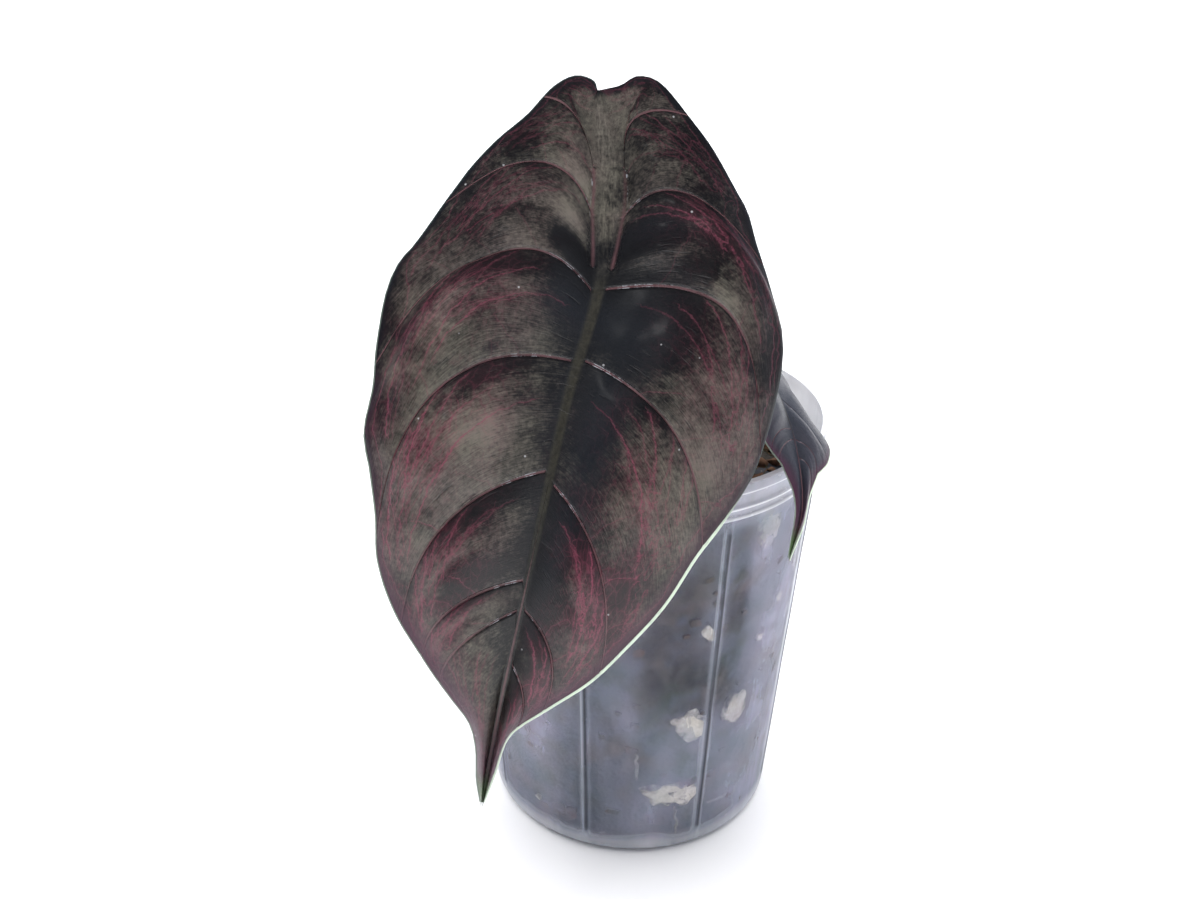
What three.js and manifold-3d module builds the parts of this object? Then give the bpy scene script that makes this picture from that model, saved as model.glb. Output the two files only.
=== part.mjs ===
// A potted Alocasia azlanii: a clear ribbed nursery pot, a chunky potting mix, a short stem,
// two petioles and two shield-shaped leaves with sunken veins.
// Millimetres, +Z up. The origin is the centre of the pot's base and the plant faces -Y.
import * as THREE from "three";
import { mergeVertices } from "three/addons/utils/BufferGeometryUtils.js";
import Module from "manifold-3d";

const wasm = await Module();
wasm.setup();

// Driving dimensions
const CLEARANCE = 0.3;
const SIDES = 48;

const POT = {
  height: 137,
  baseRadius: 46,
  wallTopRadius: 55,
  rimRadius: 57,
  wall: 1,
  floor: 1.4,
  baseRound: 4,
  bandHeight: 12.5,
  lipStep: 0.6,
  ribs: 8,
  firstRib: 27,
  ribWidth: 1.8,
  ribProud: 0.5,
  drainHoles: 8,
  drainRadius: 3,
  drainCircle: 30,
};

// Rings of the rim band: how far below the rim, and how far in from the rim's radius.
const RIM_RINGS = [
  [12.5, 2],
  [12.1, 1.2],
  [11.3, 1.2],
  [10.8, 1.7],
  [9.2, 1.5],
  [8.8, 0.8],
  [8, 0.8],
  [7.4, 1.3],
  [4, 1],
  [3.4, 0],
  [0.4, 0],
  [0, 0.4],
];

const MIX = { depthBelowRim: 13, crown: 3, bumps: 0.8, chips: 56, chipSmall: 2.6, chipLarge: 6.2 };

const STEM = {
  foot: [1, 3, 104],
  top: [1, 1, 133],
  footRadius: 10,
  topRadius: 8,
  scars: 4,
  scarHeight: 0.5,
};

// Outline of the front blade from the notch to the drip tip, each half: across and along the midrib.
// The petiole joins at 0 along.
const MARGIN_LEFT = [
  [-0.6, -52.5],
  [-4.5, -56.5],
  [-9, -56.5],
  [-14, -52],
  [-22, -44.5],
  [-30, -36],
  [-37, -26],
  [-43, -15],
  [-48.4, 0],
  [-50.8, 15],
  [-49.2, 28],
  [-47.6, 37],
  [-47.2, 48],
  [-43.5, 58],
  [-40, 68],
  [-37.2, 79],
  [-30.5, 91],
  [-21, 101.5],
  [-12, 110.5],
  [-6.5, 116.5],
  [-3.8, 124],
  [-2.4, 133],
  [-0.4, 140.4],
];
const MARGIN_RIGHT = [
  [0.6, -52.5],
  [4, -56.3],
  [9, -57],
  [15.5, -53],
  [22, -44],
  [29, -33],
  [35, -24],
  [38.5, -15],
  [43.5, -5.5],
  [48.5, 3],
  [50.3, 13],
  [50.7, 25],
  [49.5, 38],
  [45.5, 49.5],
  [40, 61],
  [35, 75],
  [28.5, 87],
  [21.5, 98],
  [12.5, 107.8],
  [6, 114.5],
  [3, 120],
  [1.8, 130],
  [0.4, 140.4],
];

// Side veins from the notch to the tip: where each leaves the midrib, its angle from the tip's
// direction there, its first reach as a share of its span, and the margin point it runs out at.
const VEINS_LEFT = [
  { root: -52.5, leave: 120, reach: 0.4, end: 0 },
  { root: -32, leave: 172, reach: 0.7, end: 2.6 },
  { root: -19, leave: 158, reach: 0.7, end: 6.7 },
  { root: 0.5, leave: 134, reach: 0.65, end: 10.4 },
  { root: 19.5, leave: 84, reach: 0.65, end: 14.5 },
  { root: 48, leave: 66, reach: 0.6, end: 16.2 },
  { root: 76, leave: 70, reach: 0.7, end: 16.9 },
  { root: 84, leave: 58, reach: 0.7, end: 17.5 },
  { root: 140.4, leave: 10, reach: 0.4, end: 22 },
];
const VEINS_RIGHT = [
  { root: -52.5, leave: 120, reach: 0.4, end: 0 },
  { root: -32, leave: 172, reach: 0.8, end: 4.4 },
  { root: -19, leave: 150, reach: 0.56, end: 7.4 },
  { root: -0.5, leave: 107, reach: 0.75, end: 11.5 },
  { root: 18.5, leave: 82, reach: 0.55, end: 13.8 },
  { root: 51, leave: 54, reach: 0.53, end: 16.8 },
  { root: 83.5, leave: 60, reach: 0.55, end: 18.2 },
  { root: 98, leave: 45, reach: 0.55, end: 19.2 },
  { root: 140.4, leave: 10, reach: 0.4, end: 22 },
];

// The cross lines of the leaf's grid: their places between two veins, and from the midrib to the margin.
const FINE_CELL = [0, 0.1, 0.26, 0.42, 0.58, 0.74, 0.9];
const COARSE_CELL = [0, 0.15, 0.38, 0.62, 0.85];
const TIP_CELL = [0, 0.1, 0.22, 0.36, 0.5, 0.62, 0.74, 0.87];
const ACROSS = [0, 0.05, 0.16, 0.34, 0.54, 0.76, 1];

const BLADE = {
  thickness: 0.8,
  midribDepth: 2.2,
  sideRibDepth: 0.5,
  midribHalfWidth: 1.7,
  posteriorHalfWidth: 4,
  rise: 5,
  quilt: 2,
  halfWidth: 50,
  dripStart: 108,
};

// Each leaf: scale of the blade, added length of its drip tip, the route of its midrib in space at
// equal steps, the directions that its upper face looks in, and its petiole.
const FRONT_LEAF = {
  cell: FINE_CELL,
  scale: 1,
  dripStretch: 0,
  droopLeft: 1,
  droopRight: 1,
  firstPoint: -56,
  step: 28,
  spine: [
    [-10, -26, 242],
    [-11, -42, 219],
    [-13.5, -57, 195.5],
    [-20.5, -72, 173],
    [-26, -86, 149.5],
    [-31.5, -96, 124],
    [-37, -102.5, 97],
    [-41.5, -104, 70],
  ],
  facing: [
    [0.02, -0.87, 0.5],
    [0.04, -0.9, 0.43],
    [0.06, -0.93, 0.35],
  ],
  petiole: [
    [-3.3, 0, 124],
    [-4.5, -5, 145],
    [-8.5, -19, 170],
    [-12.6, -38, 187],
    [-13.6, -54.6, 194.4],
  ],
  petioleFoot: 3.9,
  petioleTop: 2.5,
};
const SIDE_LEAF = {
  cell: COARSE_CELL,
  scale: 0.427,
  dripStretch: 1.1,
  droopLeft: -5.6,
  droopRight: -0.4,
  firstPoint: -52,
  step: 38,
  spine: [
    [15.6, -8.4, 181.6],
    [25.2, -18.2, 172.9],
    [33.1, -29.2, 164],
    [38.6, -41.7, 155.2],
    [41, -55.9, 147.7],
    [40.8, -70.3, 140.1],
    [36.3, -84.5, 133.7],
  ],
  facing: [
    [0.75, 0.14, 0.64],
    [0.38, 0.45, 0.81],
    [-0.03, -0.44, 0.9],
  ],
  petiole: [
    [5, 3, 125],
    [8, -2, 139],
    [13, -10, 151.5],
    [20.5, -17.8, 162.5],
    [26.8, -22.2, 168.3],
  ],
  petioleFoot: 2.9,
  petioleTop: 1.6,
};
const PETIOLE_STEPS = 18;
const PETIOLE_SIDES = 10;

// Helpers

const lerp = THREE.MathUtils.lerp;
const clamp = THREE.MathUtils.clamp;

// A repeatable source of numbers from 0 to 1.
function seeded(seed) {
  let state = seed;
  return () => {
    state = (state + 0x6d2b79f5) | 0;
    let mixed = Math.imul(state ^ (state >>> 15), 1 | state);
    mixed = (mixed + Math.imul(mixed ^ (mixed >>> 7), 61 | mixed)) ^ mixed;
    return ((mixed ^ (mixed >>> 14)) >>> 0) / 4294967296;
  };
}

// A smooth curve through listed points; a point of two numbers lies in the plane.
function curveThrough(points) {
  const vectors = points.map(([x, y, z = 0]) => new THREE.Vector3(x, y, z));
  return new THREE.CatmullRomCurve3(vectors, false, "catmullrom", 0.5);
}

// A closed geometry as a solid that can be joined and cut.
function solidOf(geometry) {
  const bare = geometry.clone();
  bare.deleteAttribute("normal");
  bare.deleteAttribute("uv");
  const merged = mergeVertices(bare, 1e-4);
  const vertProperties = merged.attributes.position.array;
  const triVerts = new Uint32Array(merged.index.array);
  return new wasm.Manifold(new wasm.Mesh({ numProp: 3, vertProperties, triVerts }));
}

// A solid back as a geometry for a mesh.
function geometryOf(solid) {
  const mesh = solid.getMesh();
  const geometry = new THREE.BufferGeometry();
  geometry.setAttribute("position", new THREE.BufferAttribute(mesh.vertProperties, 3));
  geometry.setIndex(new THREE.BufferAttribute(mesh.triVerts, 1));
  geometry.computeVertexNormals();
  return geometry;
}

// A profile of radius and height turned about the Z axis.
function turned(profile, sides = SIDES) {
  const points = profile.map(([radius, height]) => new THREE.Vector2(radius, height));
  return new THREE.LatheGeometry(points, sides).rotateX(Math.PI / 2);
}

// A round bar along a curve, with its radius given by a function of 0 to 1 along it.
function barAlong(points, radiusAt, steps, sides) {
  const curve = curveThrough(points);
  const frames = curve.computeFrenetFrames(steps, false);
  const bar = new THREE.CylinderGeometry(1, 1, steps, sides, steps);
  const position = bar.attributes.position;
  for (let i = 0; i < position.count; i++) {
    const step = clamp(Math.round(position.getY(i) + steps / 2), 0, steps);
    const along = step / steps;
    const radius = radiusAt(along);
    const place = curve.getPointAt(along);
    place.addScaledVector(frames.normals[step], position.getX(i) * radius);
    place.addScaledVector(frames.binormals[step], -position.getZ(i) * radius);
    position.setXYZ(i, place.x, place.y, place.z);
  }
  return bar;
}

// Pot

function wallRadius(height) {
  const bandFoot = POT.height - POT.bandHeight;
  return lerp(POT.baseRadius, POT.wallTopRadius, clamp(height / bandFoot, 0, 1));
}

function innerRadius(height) {
  return wallRadius(height) - POT.wall;
}

function potProfile() {
  const profile = [[0, 0]];
  const roundSteps = 3;
  for (let i = 0; i <= roundSteps; i++) {
    const turn = (i / roundSteps) * (Math.PI / 2);
    const centre = wallRadius(POT.baseRound) - POT.baseRound;
    profile.push([
      centre + POT.baseRound * Math.sin(turn),
      POT.baseRound * (1 - Math.cos(turn)),
    ]);
  }
  for (const [drop, inset] of RIM_RINGS) {
    profile.push([POT.rimRadius - inset, POT.height - drop]);
  }
  const innerRim = POT.rimRadius - POT.wall - POT.lipStep;
  profile.push([innerRim, POT.height]);
  profile.push([innerRim - 0.6, POT.height - POT.bandHeight + 1]);
  profile.push([innerRadius(POT.height), POT.height - POT.bandHeight - 0.5]);
  profile.push([innerRadius(POT.baseRound), POT.baseRound]);
  profile.push([innerRadius(0) - POT.baseRound + POT.floor, POT.floor]);
  profile.push([0, POT.floor]);
  return profile;
}

// One upright rib, sunk half into the wall.
function ribGeometry(angle) {
  const foot = POT.baseRound;
  const top = POT.height - POT.bandHeight - 1;
  const sunk = POT.wall / 2;
  const outline = new THREE.Shape([
    new THREE.Vector2(wallRadius(foot) - sunk, foot),
    new THREE.Vector2(wallRadius(foot) + POT.ribProud, foot + 1),
    new THREE.Vector2(wallRadius(top) + POT.ribProud, top - 1),
    new THREE.Vector2(wallRadius(top) - sunk, top),
  ]);
  return new THREE.ExtrudeGeometry(outline, { depth: POT.ribWidth, bevelEnabled: false })
    .translate(0, 0, -POT.ribWidth / 2)
    .rotateX(Math.PI / 2)
    .rotateZ(angle);
}

function makePot() {
  let pot = solidOf(turned(potProfile()));
  for (let i = 0; i < POT.ribs; i++) {
    const angle = (i / POT.ribs) * 360 + POT.firstRib - 90;
    pot = pot.add(solidOf(ribGeometry(THREE.MathUtils.degToRad(angle))));
  }
  for (let i = 0; i < POT.drainHoles; i++) {
    const angle = ((i + 0.5) / POT.drainHoles) * 2 * Math.PI;
    const bore = new THREE.CylinderGeometry(POT.drainRadius, POT.drainRadius, 8, 12)
      .rotateX(Math.PI / 2)
      .translate(POT.drainCircle * Math.cos(angle), POT.drainCircle * Math.sin(angle), 0);
    pot = pot.subtract(solidOf(bore));
  }
  return geometryOf(pot);
}

// Potting mix

function mixProfile() {
  const foot = POT.floor + CLEARANCE;
  const edge = POT.height - MIX.depthBelowRim;
  const profile = [[0, foot]];
  profile.push([innerRadius(0) - POT.baseRound + POT.floor - 0.2, foot]);
  profile.push([innerRadius(POT.baseRound) - CLEARANCE, POT.baseRound]);
  profile.push([innerRadius(edge) - CLEARANCE, edge - 0.5]);
  for (const share of [0.96, 0.82, 0.66, 0.48, 0.28, 0]) {
    const radius = innerRadius(edge) * share;
    profile.push([radius, edge + MIX.crown * (1 - share * share)]);
  }
  return profile;
}

// Lumps of the top layer, from chips too fine to model one by one.
function roughen(geometry) {
  const edge = POT.height - MIX.depthBelowRim - 0.4;
  const position = geometry.attributes.position;
  for (let i = 0; i < position.count; i++) {
    const x = position.getX(i);
    const y = position.getY(i);
    const z = position.getZ(i);
    if (z > edge) {
      const lump = Math.sin(x * 0.47 + 1) * Math.cos(y * 0.53) + Math.sin((x + y) * 0.9) * 0.5;
      position.setZ(i, z + MIX.bumps * lump);
    }
  }
  return geometry;
}

// A rounded lump of pumice or a flat flake of bark, half sunk in the top of the mix.
function chipGeometry(random) {
  const size = lerp(MIX.chipSmall, MIX.chipLarge, random() ** 1.5);
  const reach = innerRadius(POT.height) - 1.4 * MIX.chipLarge;
  const radius = reach * Math.sqrt(random());
  const angle = random() * 2 * Math.PI;
  const edge = POT.height - MIX.depthBelowRim;
  const height = edge + MIX.crown * (1 - (radius / innerRadius(edge)) ** 2);
  const lump =
    random() < 0.4
      ? new THREE.IcosahedronGeometry(size * 0.8, 0).scale(1, 0.8, 0.7)
      : new THREE.BoxGeometry(size * 1.9, size * 1.1, size * 0.6);
  return lump
    .rotateX(random() * 0.9 - 0.45)
    .rotateY(random() * 0.6 - 0.3)
    .rotateZ(random() * 2 * Math.PI)
    .translate(radius * Math.cos(angle), radius * Math.sin(angle), height + 0.12 * size);
}

function makeMix(hole) {
  const random = seeded(11);
  let mix = solidOf(roughen(turned(mixProfile())));
  for (let i = 0; i < MIX.chips; i++) {
    mix = mix.add(solidOf(chipGeometry(random)));
  }
  return geometryOf(mix.subtract(solidOf(hole)));
}

// Stem

// The short stem, ringed by the scars of older leaves; grown gives the hole it stands in.
function stemGeometry(grown) {
  const steps = 16;
  const radiusAt = (along) => {
    const scar = Math.abs(Math.sin(along * Math.PI * STEM.scars)) * STEM.scarHeight;
    return lerp(STEM.footRadius, STEM.topRadius, along) + scar + grown;
  };
  const middle = STEM.foot.map((foot, axis) => (foot + STEM.top[axis]) / 2);
  const foot = [STEM.foot[0], STEM.foot[1], STEM.foot[2] - grown];
  const top = [STEM.top[0], STEM.top[1], STEM.top[2] + grown];
  return barAlong([foot, middle, top], radiusAt, steps, 16);
}

function petioleGeometry(leaf, grown) {
  const radiusAt = (along) => lerp(leaf.petioleFoot, leaf.petioleTop, along ** 0.6) + grown;
  return barAlong(leaf.petiole, radiusAt, PETIOLE_STEPS, PETIOLE_SIDES);
}

function makeStem() {
  let stem = solidOf(stemGeometry(0));
  for (const leaf of [FRONT_LEAF, SIDE_LEAF]) {
    stem = stem.subtract(solidOf(petioleGeometry(leaf, CLEARANCE)));
  }
  return geometryOf(stem);
}

// Leaves

const marginLeft = curveThrough(MARGIN_LEFT);
const marginRight = curveThrough(MARGIN_RIGHT);
const NOTCH_ALONG = MARGIN_LEFT[0][1];
const TIP_ALONG = MARGIN_LEFT[MARGIN_LEFT.length - 1][1];

// Half the width of the midrib, or of the two ribs that run up to the notch.
function ribHalfWidth(along) {
  if (along < 0) {
    const toNotch = clamp((along - NOTCH_ALONG) / 14, 0, 1);
    const spread = clamp(-along / 20, 0, 1);
    return lerp(0.3, lerp(BLADE.midribHalfWidth, BLADE.posteriorHalfWidth, spread), toNotch);
  }
  return lerp(BLADE.midribHalfWidth, 0.15, (along / TIP_ALONG) ** 0.8);
}

// The line across one half of the blade at a place between the veins: veins lie at whole numbers.
function crossLine(veins, margin, sign, place) {
  const cell = Math.min(Math.floor(place), veins.length - 2);
  const share = place - cell;
  const mix = (key) => lerp(veins[cell][key], veins[cell + 1][key], share);
  const root = mix("root");
  const end = margin.getPoint(mix("end") / (margin.points.length - 1));
  const start = new THREE.Vector3(sign * ribHalfWidth(root), root, 0);
  const leave = THREE.MathUtils.degToRad(mix("leave"));
  const reach = mix("reach") * start.distanceTo(end);
  const control = new THREE.Vector3(sign * Math.sin(leave), Math.cos(leave), 0);
  control.multiplyScalar(reach).add(start);
  return { root, share, line: new THREE.QuadraticBezierCurve3(start, control, end) };
}

// Height of the upper face over the midrib's plane: each half rises from the midrib, rounds over
// and droops to the margin, and swells between the veins.
function faceHeight(leaf, across, share, x) {
  const width = Math.min(1, Math.abs(x) / BLADE.halfWidth + 0.15);
  const droop = x < 0 ? leaf.droopLeft : leaf.droopRight;
  const gull = BLADE.rise * Math.sin(Math.PI * across ** 0.75) - droop * across ** 2;
  const swell = Math.sin(Math.PI * share) ** 0.8 * Math.sin(Math.PI * across ** 0.8);
  return gull * (0.25 + 0.75 * width) + BLADE.quilt * swell;
}

// Depth of the blade: thin, with the midrib and the side veins standing out below.
function bladeDepth(leaf, across, share, root) {
  const taper = clamp(1 - root / TIP_ALONG, 0.05, 1) * clamp((root - NOTCH_ALONG) / 30, 0, 1);
  const midrib = across === 0 ? BLADE.midribDepth * taper : 0;
  const onVein = share === 0 && across < 0.8 ? BLADE.sideRibDepth * (1 - across) : 0;
  return BLADE.thickness + (midrib + onVein) * Math.sqrt(leaf.scale);
}

// The midrib's frame in space at a distance along the blade.
function frameAt(leaf, along) {
  const centre = curveThrough(leaf.spine);
  const facing = curveThrough(leaf.facing);
  const span = (leaf.spine.length - 1) * leaf.step;
  const share = (along - leaf.firstPoint) / span;
  const held = clamp(share, 0, 1);
  const tangent = centre.getTangent(held);
  const place = centre.getPoint(held).addScaledVector(tangent, (share - held) * span * leaf.scale);
  const side = facing.getPoint(held).cross(tangent).normalize();
  const normal = tangent.clone().cross(side);
  return { place, side, normal };
}

// A petiole, trimmed to sit just behind the blade where the midrib starts.
function makePetiole(leaf) {
  const hub = frameAt(leaf, 0);
  const reach = 30;
  const behind = bladeDepth(leaf, 0, 0, 0) + CLEARANCE;
  const turn = new THREE.Matrix4().makeBasis(
    hub.side,
    hub.normal.clone().cross(hub.side),
    hub.normal,
  );
  const trim = new THREE.BoxGeometry(reach, reach, reach).applyMatrix4(turn);
  const centre = hub.place.clone().addScaledVector(hub.normal, reach / 2 - behind);
  trim.translate(centre.x, centre.y, centre.z);
  return geometryOf(solidOf(petioleGeometry(leaf, 0)).subtract(solidOf(trim)));
}

// A thin closed sheet from a grid of upper and lower points, split alike on both faces.
function closedSheet(grid) {
  const rows = grid.length;
  const columns = grid[0].length;
  const positions = [];
  for (const face of [0, 1]) {
    for (const row of grid) {
      for (const pair of row) positions.push(...pair[face].toArray());
    }
  }
  const lower = rows * columns;
  const index = [];
  for (let r = 0; r < rows - 1; r++) {
    for (let c = 0; c < columns - 1; c++) {
      const a = r * columns + c;
      const b = a + columns;
      index.push(a, b, a + 1, a + 1, b, b + 1);
      index.push(lower + a, lower + a + 1, lower + b);
      index.push(lower + a + 1, lower + b + 1, lower + b);
    }
  }
  const rim = [];
  for (let c = 0; c < columns - 1; c++) rim.push(c);
  for (let r = 0; r < rows - 1; r++) rim.push(r * columns + columns - 1);
  for (let c = columns - 1; c > 0; c--) rim.push((rows - 1) * columns + c);
  for (let r = rows - 1; r > 0; r--) rim.push(r * columns);
  rim.forEach((a, i) => {
    const b = rim[(i + 1) % rim.length];
    index.push(a, b, lower + a, b, lower + b, lower + a);
  });
  const sheet = new THREE.BufferGeometry();
  sheet.setAttribute("position", new THREE.Float32BufferAttribute(positions, 3));
  sheet.setIndex(index);
  sheet.computeVertexNormals();
  return sheet;
}

function makeBlade(leaf) {
  const places = [];
  const cells = VEINS_LEFT.length - 1;
  for (let cell = 0; cell < cells; cell++) {
    const steps = cell === cells - 1 ? TIP_CELL : leaf.cell;
    for (const step of steps) places.push(cell + step);
  }
  places.push(cells);

  const pairAt = (x, along, height, depth) => {
    const drawn = along + leaf.dripStretch * Math.max(0, along - BLADE.dripStart);
    const frame = frameAt(leaf, drawn);
    const upper = frame.place.clone().addScaledVector(frame.side, x * leaf.scale);
    upper.addScaledVector(frame.normal, height * leaf.scale);
    const lower = upper.clone().addScaledVector(frame.normal, -depth);
    return [upper, lower];
  };

  const grid = places.map((place) => {
    const left = crossLine(VEINS_LEFT, marginLeft, -1, place);
    const right = crossLine(VEINS_RIGHT, marginRight, 1, place);
    const half = (cross) =>
      ACROSS.map((across) => {
        const point = cross.line.getPoint(across);
        const height = faceHeight(leaf, across, cross.share, point.x);
        return pairAt(point.x, point.y, height, bladeDepth(leaf, across, cross.share, cross.root));
      });
    const root = (left.root + right.root) / 2;
    const middle = pairAt(0, root, 0, bladeDepth(leaf, 0, left.share, root));
    return [...half(left).reverse(), middle, ...half(right)];
  });
  return closedSheet(grid);
}

// Assembly

const material = (color, roughness, opacity = 1) =>
  new THREE.MeshStandardMaterial({
    color,
    roughness,
    metalness: 0,
    transparent: opacity < 1,
    opacity,
  });

const plant = new THREE.Group();

function place(name, geometry, look) {
  const mesh = new THREE.Mesh(geometry, look);
  mesh.name = name;
  plant.add(mesh);
}

const petioleLook = material(0x4a2a2c, 0.5);
const leafLook = material(0x332b2c, 0.35);

place("pot", makePot(), material(0xc8d0e0, 0.25, 0.45));
place("potting_mix", makeMix(stemGeometry(CLEARANCE)), material(0x2e2622, 0.95));
place("stem_base", makeStem(), material(0x5a4234, 0.8));
place("petiole_front", makePetiole(FRONT_LEAF), petioleLook);
place("petiole_side", makePetiole(SIDE_LEAF), petioleLook);
place("leaf_front", makeBlade(FRONT_LEAF), leafLook);
place("leaf_side", makeBlade(SIDE_LEAF), leafLook);

export default plant;
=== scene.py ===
"""Looks of a potted Alocasia azlanii in a clear ribbed nursery pot.

Sizes are millimetres in the classes below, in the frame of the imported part: +Z up, the origin at the
centre of the pot's base, and the plant facing -Y. They become metres where a mesh is finished.
"""

import logging
import math
import random
from dataclasses import dataclass
from enum import Enum
from typing import ClassVar, Sequence

import bmesh
import bpy
import numpy as np
from mathutils import Matrix, Vector, noise


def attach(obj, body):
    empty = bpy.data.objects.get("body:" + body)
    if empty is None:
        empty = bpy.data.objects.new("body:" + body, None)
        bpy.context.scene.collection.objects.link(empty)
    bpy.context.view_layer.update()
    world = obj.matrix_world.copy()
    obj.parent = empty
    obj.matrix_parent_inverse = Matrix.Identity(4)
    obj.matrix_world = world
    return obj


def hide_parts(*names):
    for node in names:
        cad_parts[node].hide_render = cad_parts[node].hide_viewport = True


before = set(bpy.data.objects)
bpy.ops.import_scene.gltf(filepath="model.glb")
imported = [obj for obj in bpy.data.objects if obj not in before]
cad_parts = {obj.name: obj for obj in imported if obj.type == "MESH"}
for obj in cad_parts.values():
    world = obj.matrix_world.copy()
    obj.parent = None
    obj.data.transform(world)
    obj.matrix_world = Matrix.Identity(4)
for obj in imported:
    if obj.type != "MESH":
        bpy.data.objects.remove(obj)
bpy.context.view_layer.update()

MM = 0.001
Point = tuple[float, float, float]
Colour = tuple[float, float, float]
EditMesh = bmesh.types.BMesh
Look = bpy.types.Material
Socket = bpy.types.NodeSocket
# Spaces between the side veins on each half of a blade, counted from the notch to the tip.
SPACES = 8
log = logging.getLogger("alocasia")


class Slot(Enum):
    """The record's material slots."""

    PLASTIC = "clear_plastic"
    MIX = "potting_mix"
    STEM = "stem"
    PETIOLE = "petiole"
    LEAF = "leaf"


# Number helpers


def smooth(low: float, high: float, value: np.ndarray) -> np.ndarray:
    """Eases from 0 at low to 1 at high.

    Args:
        low: value that gives 0.
        high: value that gives 1.
        value: numbers to ease.

    Returns:
        The eased numbers, each from 0 to 1.
    """
    share = np.clip((value - low) / (high - low), 0, 1)
    return share * share * (3 - 2 * share)


def along_curve(points: Sequence[Sequence[float]], where: np.ndarray) -> np.ndarray:
    """Reads a uniform Catmull-Rom curve.

    Args:
        points: the points that the curve passes through.
        where: places on it, counted in points from 0.

    Returns:
        One row for each place.
    """
    knots = np.asarray(points, float)
    knots = np.vstack([2 * knots[0] - knots[1], knots, 2 * knots[-1] - knots[-2]])
    where = np.atleast_1d(np.asarray(where, float))
    cell = np.clip(np.floor(where).astype(int), 0, len(points) - 2)
    t = (where - cell)[..., None]
    before, start, end, after = (knots[cell + i] for i in range(4))
    leave, arrive = (end - before) / 2, (after - start) / 2
    cubic = 2 * start - 2 * end + leave + arrive
    square = -3 * start + 3 * end - 2 * leave - arrive
    return cubic * t**3 + square * t**2 + leave * t + start


def unit(rows: np.ndarray) -> np.ndarray:
    """Returns the rows scaled to length 1."""
    return rows / np.linalg.norm(rows, axis=-1, keepdims=True)


def rough(points: np.ndarray, size: float, seed: float) -> np.ndarray:
    """Smooth noise at each point.

    Args:
        points: places, three numbers each.
        size: width of a bump, in the points' unit.
        seed: shifts the pattern.

    Returns:
        One number from about -1 to 1 for each point.
    """
    flat = points.reshape(-1, 3) / size
    values = [noise.noise(Vector(p) + Vector((seed, -seed, seed * 0.5))) for p in flat]
    return np.array(values).reshape(points.shape[:-1])


# Mesh helpers


def finish_piece(
    mesh: EditMesh,
    name: str,
    materials: Sequence[Look],
    replaces: Sequence[str] = (),
    sharp: float = 40.0,
) -> bpy.types.Object:
    """Turns a mesh in millimetres into a shown piece that rides on the plant's body.

    Args:
        mesh: the piece, which is freed.
        name: name of the piece.
        materials: its materials, in the order of the faces' numbers.
        replaces: the part's nodes that it stands for.
        sharp: edges over this angle, in degrees, stay crisp.

    Returns:
        The finished object, at the origin.
    """
    bmesh.ops.scale(mesh, vec=Vector((MM, MM, MM)), verts=mesh.verts[:])
    data = bpy.data.meshes.new(name)
    mesh.to_mesh(data)
    mesh.free()
    for material in materials:
        data.materials.append(material)
    data.shade_smooth()
    data.set_sharp_from_angle(angle=math.radians(sharp))
    piece = bpy.data.objects.new(name, data)
    bpy.context.scene.collection.objects.link(piece)
    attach(piece, "root")
    if replaces:
        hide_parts(*replaces)
    log.info("%s: %d faces", name, len(data.polygons))
    return piece


def turned(profile: Sequence[tuple[float, float]], steps: int) -> EditMesh:
    """Spins a profile of radius and height about the Z axis.

    Args:
        profile: points from the axis, outside first, back to the axis.
        steps: faces round the axis.

    Returns:
        The closed mesh, its normals outwards.
    """
    mesh = bmesh.new()
    ring = [mesh.verts.new((radius, 0, height)) for radius, height in profile]
    edges = [mesh.edges.new(pair) for pair in zip(ring, ring[1:])]
    bmesh.ops.spin(
        mesh,
        geom=ring + edges,
        cent=(0, 0, 0),
        axis=(0, 0, 1),
        angle=2 * math.pi,
        steps=steps,
        use_merge=True,
        use_duplicate=False,
    )
    bmesh.ops.remove_doubles(mesh, verts=mesh.verts[:], dist=1e-4)
    bmesh.ops.recalc_face_normals(mesh, faces=mesh.faces[:])
    return mesh


def swept(
    mesh: EditMesh, path: np.ndarray, radii: Sequence[float], sides: int
) -> None:
    """Adds a round bar along a path, closed at both ends.

    Args:
        mesh: mesh that gets the bar; its layer "along" tells how far each ring lies, from 0 to 1.
        path: middle of each ring.
        radii: radius of each ring.
        sides: faces round the bar.
    """
    layer = mesh.verts.layers.float.get("along") or mesh.verts.layers.float.new("along")
    ahead = unit(np.gradient(path, axis=0))
    side = np.cross(ahead[0], (0.3, 0.5, 0.81))
    frames = []
    for place, direction, radius in zip(path, ahead, radii):
        side = side - direction * np.dot(side, direction)
        side = side / np.linalg.norm(side)
        turn = Matrix((side, np.cross(direction, side), direction)).transposed().to_4x4()
        size = Matrix.Diagonal((radius, radius, radius, 1))
        frames.append(Matrix.Translation(Vector(place)) @ turn @ size)
    first = bmesh.ops.create_circle(mesh, cap_ends=True, segments=sides, radius=1)["verts"]
    bmesh.ops.transform(mesh, matrix=frames[0], verts=first)
    ring = list(dict.fromkeys(edge for vert in first for edge in vert.link_edges))
    for step, (old, new) in enumerate(zip(frames, frames[1:]), 1):
        made = bmesh.ops.extrude_edge_only(mesh, edges=ring)["geom"]
        verts = [item for item in made if isinstance(item, bmesh.types.BMVert)]
        known = set(verts)
        ring = [
            item
            for item in made
            if isinstance(item, bmesh.types.BMEdge) and set(item.verts) <= known
        ]
        bmesh.ops.transform(mesh, matrix=new @ old.inverted(), verts=verts)
        for vert in verts:
            vert[layer] = step / (len(frames) - 1)
    bmesh.ops.edgeloop_fill(mesh, edges=ring)
    bmesh.ops.recalc_face_normals(mesh, faces=mesh.faces[:])


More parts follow.
